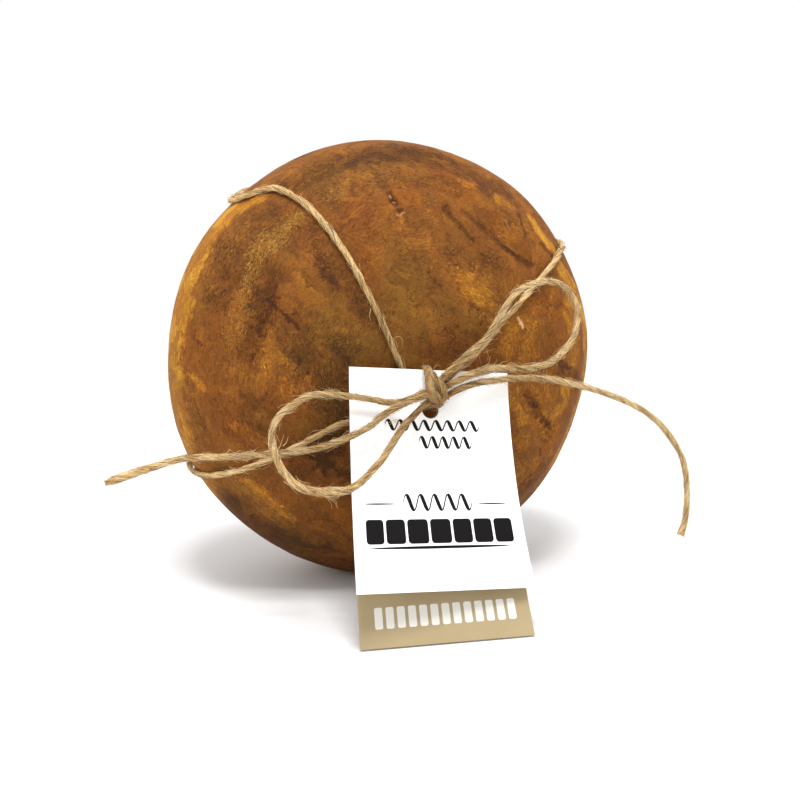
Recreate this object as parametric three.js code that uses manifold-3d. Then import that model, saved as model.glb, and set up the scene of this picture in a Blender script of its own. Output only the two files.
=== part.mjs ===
// A wheel of semi-hard cow milk cheese standing on its rim, tied crosswise with jute twine.
// A tag of two card leaves hangs from the twine by a punched hole, below a bow with two loops and tails.
//
// Millimetres. X runs across the face to the right, Y from the face with the bow to the back, Z up.
// The origin is the middle of the flat spot that the wheel stands on.

import * as THREE from 'three';
import { mergeVertices } from 'three/addons/utils/BufferGeometryUtils.js';
import Module from 'manifold-3d';

const wasm = await Module();
wasm.setup();

// The wheel: a barrel-like form, whose section through the axis is a superellipse.
const WHEEL_RADIUS = 100;
const WHEEL_HALF_THICKNESS = 50;
const RIM_FULLNESS = 2.67;
const FACE_FULLNESS = 2.4;
const WHEEL_TURNS = 84;
const WHEEL_BANDS = 38;
// The weight has pressed the rim flat where it stands, and relief fades out round that spot.
const FLAT_DEPTH = 1.5;
const CALM_NEAR = 24;
const CALM_FAR = 46;
const AXIS_HEIGHT = WHEEL_RADIUS - FLAT_DEPTH;

// Relief of the rind, all of it inwards: soft hollows, a dip outside the mould's ring, and creases.
const HOLLOW_DEPTH = 1.1;
const HOLLOW_WAVE = { x: 17, y: 23, z: 14, shift: 1 };
const RING_RADIUS = 84;
const RING_DIP_DEPTH = 0.7;
const RING_DIP_OUTSIDE = 7;
const RING_DIP_WIDTH = 4;
const CREASE_DEPTH = 1.6;
const CREASE_WIDTH = 4;
// Each crease is a line on a face, from x, z to x, z about the wheel's axis.
const FRONT_CREASES = [[22, 74, 52, 45], [14, 67, 28, 48], [50, -14, 63, -33], [-66, 22, -72, -12]];
const BACK_CREASES = [[-50, 58, -18, 40], [30, -20, 62, -44], [-64, -24, -38, -52]];
// Each pit is a small eye in the rind, at x, z about the axis.
const PIT_RADIUS = 2.2;
const FRONT_PITS = [[-9.8, 73], [-6.8, 68]];
const BACK_PITS = [[24, 61], [-41, 18]];

// Twine: its centre line runs clear of the rind by half its thickness and a small gap.
const TWINE_DIAMETER = 3;
const TWINE_SIDES = 8;
const TWINE_LIFT = TWINE_DIAMETER / 2 + 0.5;

// The four legs of the cross tie, each from near the middle of the front over the rim to the back.
// heading is its direction on the front, offset its distance beside the axis, skew how far it drifts
// over the rim, hook its distance beside the axis at the back, and skip its stops left out at the front.
const LEG_FRONT_POLAR = 6;
const LEG_BACK_POLAR = 174;
const LEG_STOPS = 13;
const LEGS = {
  upperLeft: { heading: 112.6, offset: 7.9, skew: 0.51, hook: -3.7, skip: 0 },
  upperRight: { heading: 44.8, offset: -10.6, skew: -0.34, hook: 3.3, skip: 1 },
  lowerLeft: { heading: 208.5, offset: -1, skew: -0.06, hook: 2.5, skip: 1 },
  lowerRight: { heading: 292.6, offset: -7.9, skew: 0.02, hook: -4, skip: 0 },
};

// Routes chosen by hand, about the wheel's axis: x, y, z.
// At the back the two halves of the tie hook round each other.
const HOOK_RIGHT = [[1.6, 55.6, 5.6], [-2.9, 55.2, 2.4], [-4.6, 54, -0.8], [-2.3, 52, -4.6]];
const HOOK_LEFT = [[1.6, 52, 5.2], [4.2, 52.6, 0.8], [1.8, 54.8, -2.4], [-2.3, 55.6, -4]];
// The tie leaves the knot to the upper right, over the top edge of the tag.
const KNOT_TO_LEG = [[4.4, -63.2, -0.6], [11.5, -60, 3.4], [19, -56.4, 6.6], [25, -53, 11.2]];
// It comes back behind the tag and out to the front through the punched holes.
const LEG_TO_HOLE = [[-26, -52, -15.9], [-15, -52.2, -15.4], [-8, -52.8, -15], [-4, -54.6, -14.5],
  [-1, -57.2, -13.7], [0.4, -59.6, -13.2], [0.7, -62.4, -12.9]];

// The knot: a turn through the hole and over the tag's top edge, and the strands drawn tight under it.
const KNOT_TURN = [[0.8, -64.4, -10.8], [-0.4, -66.4, -7], [-2.2, -66.8, -3], [-2.2, -65.4, 2],
  [-1, -61.4, 5.8], [0.6, -56.6, 6.8], [1.2, -53, 4.6], [1.4, -52.3, 0.8]];
const KNOT_TURN_RADIUS = 1.6;
const KNOT_FRONT = [[0.4, -65.4, -8.6], [-1.2, -66.4, -5], [-2, -66.2, -1], [-1.4, -64.6, 2.6]];
const KNOT_FRONT_RADIUS = 2.7;
const KNOT_MIDDLE = [[-5.4, -66.4, -5.4], [-1, -64.8, -4], [3, -65.2, -1.6]];
const KNOT_MIDDLE_RADIUS = 2.9;

// The bow: each loop leaves the knot and comes back to it, and each tail ends free.
const LOOP_LEFT = [[-6.7, -66, -4.4], [-11.5, -66.8, -6.2], [-16.5, -66.2, -7.6], [-21.5, -65.2, -7.4],
  [-27.5, -64.4, -6], [-37.5, -64, -4], [-46.5, -62.5, -3], [-53, -61.5, -3.5], [-59, -61, -6.5],
  [-65, -61, -11], [-68, -62, -17], [-68.5, -64, -23], [-67, -67, -28], [-64.5, -71.5, -33],
  [-60, -76, -36.5], [-55, -80, -37.5], [-49.5, -83, -37], [-43.5, -84, -36.5], [-36.5, -82.5, -33],
  [-28.5, -78.8, -27.5], [-24, -76, -23.5], [-18, -72.4, -17.5], [-12, -69.4, -13], [-6.4, -67.2, -9.2]];
const LOOP_RIGHT = [[2.9, -66.2, 2.2], [9.5, -64.6, 6.8], [17, -62.4, 11.6], [23.5, -60.8, 15.6],
  [28, -59.6, 19.5], [32.5, -58.4, 24], [37.5, -57.2, 30.5], [42.5, -56.4, 35], [47.5, -55.8, 37.6],
  [55, -54.6, 38.5], [63, -53, 36.5], [68, -52, 32], [71.5, -51.2, 26], [71.5, -51.6, 21],
  [69.5, -52.6, 14], [64.5, -54, 8.5], [57.5, -56, 4], [50, -58.2, 2.5], [40.5, -60.6, 2],
  [28.5, -62.8, 3.4], [19.5, -65, 2.8], [12, -66.4, 1.2], [4.9, -66.8, -1.6]];
const TAIL_LEFT = [[-6, -69.7, -4.6], [-12.4, -71, -5.8], [-18.5, -71.4, -7.8], [-24.5, -70.6, -11.2],
  [-30.5, -70.6, -15.5], [-39.5, -71.5, -19], [-46, -68, -22], [-52.5, -62.4, -25],
  [-58.5, -57.5, -26.5], [-68, -54.4, -27.5], [-76, -52.6, -27.8], [-85, -51.4, -28],
  [-99.5, -50, -27.5], [-115, -50, -30.5], [-131.5, -52, -34.5]];
const TAIL_RIGHT = [[4.1, -66, -6.1], [10.4, -66.4, -3.3], [17.5, -66, -1.6], [24, -65, -1.4],
  [33, -63.6, -1.2], [44, -61.8, -1.8], [55, -60.2, -3.2], [72.5, -58, -8], [86, -57, -12.5],
  [100.5, -56.5, -19], [110, -56.5, -25.5], [117, -57, -33], [123, -58, -42], [125.5, -59, -51.5],
  [126, -60, -63.5], [124.8, -61, -72.5], [122, -62, -79]];

// The tag: two leaves of card, each between four corners given as x, y, z about the wheel's axis.
// Both slope away from the wheel at their top edge, and the back leaf's foot meets the floor.
const CARD_THICKNESS = 0.5;
const TAG_TOP_SLOPE = 16;
const TAG_SWING = 5;
const FRONT_LEAF = {
  topLeft: [-34.5, -56, 6.4],
  topRight: [35.5, -57, 0.1],
  footLeft: [-44.5, -96.5, -74],
  footRight: [31, -96, -80.6],
};
const BACK_LEAF = {
  topLeft: [-33.6, -54.8, 5.9],
  topRight: [34.6, -55.8, -0.4],
  footLeft: [-42, -93, -98],
  footRight: [28, -102, -98],
};
const LEAF_COLUMNS = 4;
const LEAF_ROWS = 14;
const HOLE_PLACE = [0.4, -60, -14];
const HOLE_RADIUS = 3.35;
const HOLE_DRILL_LENGTH = 16;
const HOLE_SIDES = 20;

const RIND = { color: 0x8a5524, roughness: 0.55, metalness: 0 };
const JUTE = { color: 0xb18c57, roughness: 0.9, metalness: 0 };
const WHITE_CARD = { color: 0xfbfaf6, roughness: 0.6, metalness: 0 };
const TAN_CARD = { color: 0xc8b283, roughness: 0.65, metalness: 0 };

// Corners of a closed mesh nearer than this are one corner.
const WELD_DISTANCE = 1e-4;

const radians = THREE.MathUtils.degToRad;
const part = new THREE.Group();

function addPiece(name, geometry, finish) {
  const piece = new THREE.Mesh(geometry, new THREE.MeshStandardMaterial(finish));
  piece.name = name;
  part.add(piece);
}

// A closed geometry as a solid that can be joined and cut.
function solidOf(geometry) {
  const bare = geometry.clone();
  bare.deleteAttribute('normal');
  bare.deleteAttribute('uv');
  const merged = mergeVertices(bare, WELD_DISTANCE);
  return new wasm.Manifold(new wasm.Mesh({
    numProp: 3,
    vertProperties: new Float32Array(merged.attributes.position.array),
    triVerts: new Uint32Array(merged.index.array),
  }));
}

function geometryOf(solid) {
  const mesh = solid.getMesh();
  const geometry = new THREE.BufferGeometry();
  geometry.setAttribute('position', new THREE.BufferAttribute(mesh.vertProperties, 3));
  geometry.setIndex(new THREE.BufferAttribute(mesh.triVerts, 1));
  geometry.computeVertexNormals();
  return geometry;
}

function aboutAxis([x, y, z]) {
  return new THREE.Vector3(x, y, z + AXIS_HEIGHT);
}

// The radius and depth of the wheel's section at a polar angle, which is 0 at the middle of the front.
function section(polar, lift) {
  const sine = Math.max(Math.sin(polar), 0);
  const cosine = Math.cos(polar);
  const share = Math.sign(cosine) * Math.abs(cosine) ** (2 / FACE_FULLNESS);
  return {
    radius: (WHEEL_RADIUS + lift) * sine ** (2 / RIM_FULLNESS),
    depth: -(WHEEL_HALF_THICKNESS + lift) * share,
  };
}

// The half thickness of the wheel at a distance from its axis.
function faceDepth(radius) {
  const left = Math.max(1 - (radius / WHEEL_RADIUS) ** RIM_FULLNESS, 0);
  return WHEEL_HALF_THICKNESS * left ** (1 / FACE_FULLNESS);
}

function distanceToLine(x, z, [x1, z1, x2, z2]) {
  const along = ((x - x1) * (x2 - x1) + (z - z1) * (z2 - z1)) / ((x2 - x1) ** 2 + (z2 - z1) ** 2);
  const nearest = THREE.MathUtils.clamp(along, 0, 1);
  return Math.hypot(x - x1 - nearest * (x2 - x1), z - z1 - nearest * (z2 - z1));
}

// How deep the rind lies below the full form at a point about the wheel's axis.
function rindRelief(x, y, z) {
  const across = Math.sin(x / HOLLOW_WAVE.x + y / HOLLOW_WAVE.y);
  const upward = Math.sin(z / HOLLOW_WAVE.z + HOLLOW_WAVE.shift);
  const hollows = (1 + across * upward) / 2;
  const fromRing = (Math.hypot(x, z) - RING_RADIUS - RING_DIP_OUTSIDE) / RING_DIP_WIDTH;
  let relief = HOLLOW_DEPTH * hollows + RING_DIP_DEPTH * Math.exp(-fromRing * fromRing);
  for (const crease of y < 0 ? FRONT_CREASES : BACK_CREASES) {
    const fromCrease = distanceToLine(x, z, crease) / CREASE_WIDTH;
    relief += CREASE_DEPTH * Math.exp(-fromCrease * fromCrease);
  }
  const fromFoot = Math.hypot(x, y, z + WHEEL_RADIUS);
  return relief * THREE.MathUtils.smoothstep(fromFoot, CALM_NEAR, CALM_FAR);
}

function pitCutter(x, z, side) {
  const cutter = new THREE.IcosahedronGeometry(PIT_RADIUS, 1);
  const place = aboutAxis([x, side * (faceDepth(Math.hypot(x, z)) - HOLLOW_DEPTH / 2), z]);
  return solidOf(cutter.translate(place.x, place.y, place.z));
}

function cheeseWheel() {
  const geometry = new THREE.SphereGeometry(1, WHEEL_TURNS, WHEEL_BANDS);
  const places = geometry.attributes.position;
  for (let i = 0; i < places.count; i += 1) {
    const unit = new THREE.Vector3().fromBufferAttribute(places, i);
    const polar = Math.PI - Math.acos(THREE.MathUtils.clamp(unit.y, -1, 1));
    const turn = Math.atan2(unit.z, unit.x);
    const { radius, depth } = section(polar, 0);
    const place = new THREE.Vector3(radius * Math.cos(turn), depth, radius * Math.sin(turn));
    const steepness = (radius / WHEEL_RADIUS) ** (RIM_FULLNESS - 1) * (RIM_FULLNESS / WHEEL_RADIUS);
    const slope = (Math.abs(depth) / WHEEL_HALF_THICKNESS) ** (FACE_FULLNESS - 1)
      * (FACE_FULLNESS / WHEEL_HALF_THICKNESS) * Math.sign(depth);
    const outward = new THREE.Vector3(steepness * Math.cos(turn), slope, steepness * Math.sin(turn));
    place.addScaledVector(outward.normalize(), -rindRelief(place.x, place.y, place.z));
    places.setXYZ(i, place.x, place.y, place.z + AXIS_HEIGHT);
  }
  const reach = 2 * WHEEL_RADIUS;
  const floor = new THREE.BoxGeometry(reach, reach, reach).translate(0, 0, -reach / 2);
  let wheel = solidOf(geometry).subtract(solidOf(floor));
  for (const [x, z] of FRONT_PITS) wheel = wheel.subtract(pitCutter(x, z, -1));
  for (const [x, z] of BACK_PITS) wheel = wheel.subtract(pitCutter(x, z, 1));
  return geometryOf(wheel);
}

// A smooth curve through its points. Each span between two points has the same share of the samples.
function routeThrough(points) {
  const route = new THREE.CatmullRomCurve3(points, false, 'centripetal');
  route.getUtoTmapping = (share) => share;
  return route;
}

function cordAlong(points, radius, stepsPerPoint) {
  const round = new THREE.Shape();
  for (let side = 0; side < TWINE_SIDES; side += 1) {
    const angle = (2 * Math.PI * side) / TWINE_SIDES;
    const method = side === 0 ? 'moveTo' : 'lineTo';
    round[method](radius * Math.cos(angle), radius * Math.sin(angle));
  }
  round.closePath();
  return new THREE.ExtrudeGeometry(round, {
    steps: (points.length - 1) * stepsPerPoint,
    extrudePath: routeThrough(points),
    bevelEnabled: false,
  });
}

// The points of one leg of the tie, from the front to the back.
function legPoints({ heading, offset, skew, hook, skip }) {
  const atRim = offset + skew * (WHEEL_HALF_THICKNESS + TWINE_LIFT);
  const points = [];
  for (let stop = skip; stop <= LEG_STOPS; stop += 1) {
    const polar = THREE.MathUtils.lerp(LEG_FRONT_POLAR, LEG_BACK_POLAR, stop / LEG_STOPS);
    const { radius, depth } = section(radians(polar), TWINE_LIFT);
    const backShare = THREE.MathUtils.smoothstep(depth, 0, WHEEL_HALF_THICKNESS);
    const beside = depth < 0
      ? offset + skew * (depth + WHEEL_HALF_THICKNESS + TWINE_LIFT)
      : THREE.MathUtils.lerp(atRim, hook, backShare);
    const turn = radians(heading) + Math.asin(beside / radius);
    points.push(aboutAxis([radius * Math.cos(turn), depth, radius * Math.sin(turn)]));
  }
  return points;
}

function twineTie() {
  const points = [
    ...KNOT_TO_LEG.map(aboutAxis),
    ...legPoints(LEGS.upperRight),
    ...HOOK_RIGHT.map(aboutAxis),
    ...legPoints(LEGS.lowerRight).reverse(),
    ...legPoints(LEGS.upperLeft),
    ...HOOK_LEFT.map(aboutAxis),
    ...legPoints(LEGS.lowerLeft).reverse(),
    ...LEG_TO_HOLE.map(aboutAxis),
  ];
  return cordAlong(points, TWINE_DIAMETER / 2, 2);
}

function knot() {
  const turn = solidOf(cordAlong(KNOT_TURN.map(aboutAxis), KNOT_TURN_RADIUS, 2));
  const front = solidOf(cordAlong(KNOT_FRONT.map(aboutAxis), KNOT_FRONT_RADIUS, 2));
  const middle = solidOf(cordAlong(KNOT_MIDDLE.map(aboutAxis), KNOT_MIDDLE_RADIUS, 2));
  return geometryOf(turn.add(front).add(middle));
}

function freeCord(points) {
  return cordAlong(points.map(aboutAxis), TWINE_DIAMETER / 2, 1);
}

// One side edge of a leaf: it leaves its top corner at the tag's slope and bends to reach its foot corner.
function leafEdge(top, foot) {
  const start = aboutAxis(top);
  const end = aboutAxis(foot);
  const slope = radians(TAG_TOP_SLOPE);
  const swing = radians(TAG_SWING);
  const down = new THREE.Vector3(-Math.sin(swing), -Math.tan(slope), -Math.cos(swing)).normalize();
  const bend = start.clone().addScaledVector(down, start.distanceTo(end) / 2);
  return new THREE.QuadraticBezierCurve3(start, bend, end);
}

function tagLeaf({ topLeft, topRight, footLeft, footRight }) {
  const leftEdge = leafEdge(topLeft, footLeft);
  const rightEdge = leafEdge(topRight, footRight);
  const geometry = new THREE.BoxGeometry(1, 1, 1, LEAF_COLUMNS, 1, LEAF_ROWS);
  const places = geometry.attributes.position;
  for (let i = 0; i < places.count; i += 1) {
    const down = 0.5 - places.getZ(i);
    const left = leftEdge.getPoint(down);
    const right = rightEdge.getPoint(down);
    const across = right.clone().sub(left).normalize();
    const downward = leftEdge.getTangent(down).add(rightEdge.getTangent(down)).normalize();
    const towardWheel = across.clone().cross(downward).normalize();
    const place = left.lerp(right, places.getX(i) + 0.5);
    place.addScaledVector(towardWheel, places.getY(i) * CARD_THICKNESS);
    places.setXYZ(i, place.x, place.y, place.z);
  }
  const place = aboutAxis(HOLE_PLACE);
  const punch = new THREE.CylinderGeometry(HOLE_RADIUS, HOLE_RADIUS, HOLE_DRILL_LENGTH, HOLE_SIDES)
    .translate(place.x, place.y, place.z);
  return geometryOf(solidOf(geometry).subtract(solidOf(punch)));
}

addPiece('cheese_wheel', cheeseWheel(), RIND);
addPiece('twine_tie', twineTie(), JUTE);
addPiece('twine_knot', knot(), JUTE);
addPiece('bow_loop_left', freeCord(LOOP_LEFT), JUTE);
addPiece('bow_loop_right', freeCord(LOOP_RIGHT), JUTE);
addPiece('bow_tail_left', freeCord(TAIL_LEFT), JUTE);
addPiece('bow_tail_right', freeCord(TAIL_RIGHT), JUTE);
addPiece('tag_front_leaf', tagLeaf(FRONT_LEAF), WHITE_CARD);
addPiece('tag_back_leaf', tagLeaf(BACK_LEAF), TAN_CARD);

export default part;
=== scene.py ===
"""A wheel of semi-hard cow's milk cheese on its rim, with jute twine tied in a bow over a card tag.

All the lists are in millimetres: x to the right, y away from the camera, z up from the wheel's axis.
"""

import math
import random
from functools import partial

import bmesh
import bpy
import numpy
from bpy.props import FloatProperty, FloatVectorProperty, IntProperty, PointerProperty
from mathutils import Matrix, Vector, noise
from mathutils.bvhtree import BVHTree
from mathutils.geometry import delaunay_2d_cdt


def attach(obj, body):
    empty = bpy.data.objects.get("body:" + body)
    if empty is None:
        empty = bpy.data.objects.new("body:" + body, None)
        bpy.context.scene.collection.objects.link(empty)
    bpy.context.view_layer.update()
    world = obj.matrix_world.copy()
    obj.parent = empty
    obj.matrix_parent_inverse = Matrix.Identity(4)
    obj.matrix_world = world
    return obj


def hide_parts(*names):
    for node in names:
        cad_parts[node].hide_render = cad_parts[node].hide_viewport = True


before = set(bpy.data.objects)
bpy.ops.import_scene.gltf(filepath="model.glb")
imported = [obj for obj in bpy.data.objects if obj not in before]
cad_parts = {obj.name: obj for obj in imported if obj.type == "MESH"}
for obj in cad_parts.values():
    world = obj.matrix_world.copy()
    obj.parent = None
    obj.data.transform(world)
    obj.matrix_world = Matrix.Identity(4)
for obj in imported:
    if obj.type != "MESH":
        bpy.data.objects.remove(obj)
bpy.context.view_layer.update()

bl_info = {
    "name": "Cheese wheel with a twine bow and a card tag",
    "version": (1, 0, 0),
    "blender": (4, 5, 0),
    "location": "3D View > Sidebar > Cheese",
    "description": "Builds the wheel, its twine, its tag and a plain studio",
    "category": "Add Mesh",
}

MM = 0.001

# The wheel.
WHEEL_RADIUS = 100
WHEEL_HALF_THICKNESS = 50
RIM_FULLNESS = 2.67
FACE_FULLNESS = 2.4
AXIS_HEIGHT = 98.5
RING_DIP_RADIUS = 91
FRONT_CREASES = ((22, 74, 52, 45), (14, 67, 28, 48), (50, -14, 63, -33), (-66, 22, -72, -12))
BACK_CREASES = ((-50, 58, -18, 40), (30, -20, 62, -44), (-64, -24, -38, -52))
FRONT_PITS = ((-9.8, 73), (-6.8, 68))
BACK_PITS = ((24, 61), (-41, 18))

# The tie: two strands that hook round each other behind the knot and behind the wheel.
LEG_FRONT_POLAR = 6
LEG_BACK_POLAR = 174
LEG_STOPS = 13
LEG_LIFT = 2
# A leg's curl comes in between these depths and goes again behind the rim.
CURL_DEPTHS = (-25, -3)
UPPER_LEFT_LEG = {"heading": 112, "offset": 7.9, "skew": 0.46, "hook": -3.7, "skip": 0, "curl": 8.5}
UPPER_RIGHT_LEG = {"heading": 44.8, "offset": -10.6, "skew": -0.34, "hook": 3.3, "skip": 1, "curl": 4}
LOWER_LEFT_LEG = {"heading": 208.5, "offset": -1, "skew": -0.06, "hook": 2.5, "skip": 1}
LOWER_RIGHT_LEG = {"heading": 292.6, "offset": -7.9, "skew": 0.02, "hook": -4, "skip": 0}
HOOK_RIGHT = ((1.6, 55.6, 5.6), (-2.9, 55.2, 2.4), (-4.6, 54, -0.8), (-2.3, 52, -4.6))
HOOK_LEFT = ((1.6, 52, 5.2), (4.2, 52.6, 0.8), (1.8, 54.8, -2.4), (-2.3, 55.6, -4))
KNOT_TO_LEG = ((4.4, -63.2, -0.6), (11.5, -60, 3.4), (19, -56.4, 6.6), (25, -53, 11.2))
LEG_TO_HOLE = (
    (-26, -52, -15.9), (-15, -52.2, -15.4), (-8, -52.8, -14.4), (-4.4, -54.6, -13),
    (-1.8, -57.2, -11.5), (-0.6, -59.6, -10.6), (-0.2, -62.4, -10.2),
)
# The tie's middle comes down to this far above the rind, wherever it is held by more than the share.
TIE_SEAT = 1.35
TIE_HELD_FROM = 0.2
TIE_FIBRES_PER_MM = 3
TIE_SEED = 11
KNOT_SEED = 20
ROUTE_STEPS = 6

# The bow: two loops and two tails, each from the knot outwards.
LOOP_LEFT = (
    (-6.7, -66, -4.4), (-11.5, -66.8, -6.2), (-16.5, -66.2, -7.6), (-21.5, -65.2, -7.4),
    (-27.5, -64.4, -6), (-37.5, -64, -4), (-46.5, -62.5, -3), (-53, -61.5, -3.5),
    (-59, -61, -6.5), (-65, -61, -11), (-68, -62, -17), (-68.5, -64, -23),
    (-67, -67, -28), (-64.5, -71.5, -33), (-60, -76, -36.5), (-55, -80, -37.5),
    (-49.5, -83, -37), (-43.5, -84, -36.5), (-36.5, -82.5, -33), (-28.5, -78.8, -27.5),
    (-24, -76, -23.5), (-18, -72.4, -17.5), (-12, -69.4, -13), (-6.4, -67.2, -9.2),
)
LOOP_RIGHT = (
    (2.9, -66.2, 2.2), (9.5, -64.6, 6.8), (17, -62.4, 11.6), (23.5, -60.8, 15.6),
    (27.2, -59.6, 19.9), (31.2, -58.4, 24.8), (36, -57.2, 31.2), (41.2, -56.4, 35.4),
    (47.5, -55.8, 37.6), (55, -54.6, 38.5), (63, -53, 36.5), (68, -52, 32),
    (71.5, -51.2, 26), (71.5, -51.6, 21), (69.5, -52.6, 14), (64.5, -54, 8.5),
    (57.5, -56, 4), (50, -58.2, 2.5), (40.5, -60.6, 2), (28.5, -62.8, 3.4),
    (19.5, -65, 2.8), (12, -66.4, 1.2), (4.9, -66.8, -1.6),
)
TAIL_LEFT = (
    (-6, -69.7, -4.6), (-12.4, -71, -5.8), (-18.5, -71.4, -7.8), (-24.5, -70.6, -11.2),
    (-30.5, -70.6, -15.5), (-39.5, -71.5, -19), (-46, -68, -22), (-52.5, -62.4, -25),
    (-58.5, -57.5, -26.5), (-68, -54.4, -27.5), (-76, -52.6, -27.8), (-85, -51.4, -28),
    (-99.5, -50, -27.5), (-115, -50, -30.5), (-131.5, -52, -34.5),
)
TAIL_RIGHT = (
    (4.1, -66, -6.1), (10.4, -66.4, -3.3), (17.5, -66, -1.6), (24, -65, -1.4),
    (33, -63.6, -1.2), (44, -61.8, -1.8), (55, -60.2, -3.2), (72.5, -58, -8),
    (86, -57, -12.5), (100.5, -56.5, -19), (110, -56.5, -25.5), (117, -57, -33),
    (123, -58, -42), (125.5, -59, -51.5), (126, -60, -63.5), (124.8, -61, -72.5),
    (122, -62, -79),
)
# How thick the twine is along its way, as pairs of share of the way and share of its diameter.
SLIM = ((0, 0.9), (1, 0.9))
TIE_SWELL = ((0, 0.92), (0.05, 0.86), (0.5, 0.9), (0.95, 0.86), (1, 0.9))
LOOP_LEFT_SWELL = ((0, 0.95), (0.2, 0.84), (0.4, 0.9), (0.55, 1), (0.66, 1.15), (0.75, 1), (1, 0.86))
LOOP_RIGHT_SWELL = ((0, 0.95), (0.2, 0.86), (0.5, 0.86), (0.75, 0.95), (0.9, 1.05), (1, 0.95))
TAIL_LEFT_SWELL = ((0, 0.9), (0.3, 0.86), (0.85, 0.86), (0.95, 1.1), (0.985, 1.3), (1, 0.7))
TAIL_RIGHT_SWELL = ((0, 0.9), (0.2, 0.88), (0.6, 0.84), (0.95, 0.92), (1, 1.35))

# The knot: two turns over the card's top edge, and the strands that they hold.
KNOT_STRANDS = (
    ((0.2, -60.6, -10.4), (0.9, -63.4, -10.1), (1, -66.2, -9), (-0.6, -68.3, -7.3), (-2.8, -68.9, -5),
     (-4.2, -68.4, -2), (-4, -66.8, 0.8), (-3.2, -64, 3), (-2.2, -60.4, 4.3), (-1.6, -57, 3.9),
     (-1.2, -54.6, 2), (-0.6, -53, 0)),
    ((-1.8, -60.8, -10.4), (-1.2, -63.8, -10), (0.2, -66.6, -8.7), (1.5, -67.9, -6.3), (1.6, -68.2, -3.4),
     (-0.1, -68, -0.8), (-1.6, -67, 1.6), (-2, -64, 3.5), (-1.6, -60.4, 4.4), (-0.4, -57, 3.9),
     (0.6, -54.6, 2), (1.2, -53, 0)),
    ((-6.7, -66, -4.4), (-3, -65.8, -4.2), (0, -65.4, -1.6), (2.9, -66.2, 2.2)),
    ((-6.4, -67.2, -9.2), (-3, -65.8, -7.6), (0.6, -65.2, -4.6), (4.9, -66.8, -1.6)),
    ((-6, -69.7, -4.6), (-3, -67.4, -6.4), (0.5, -66.2, -7.6), (4.1, -66, -6.1)),
    ((-0.2, -62.4, -10.2), (0.2, -63.8, -8.6), (1.2, -64.2, -4.6), (4.4, -63.2, -0.6)),
)
KNOT_SWELLS = (
    ((0, 0.8), (0.25, 1.3), (0.5, 1.2), (0.7, 0.8), (1, 0.8)),
    ((0, 0.8), (0.25, 1.2), (0.5, 1.1), (0.7, 0.8), (1, 0.8)),
    SLIM, SLIM, SLIM, SLIM,
)

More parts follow.
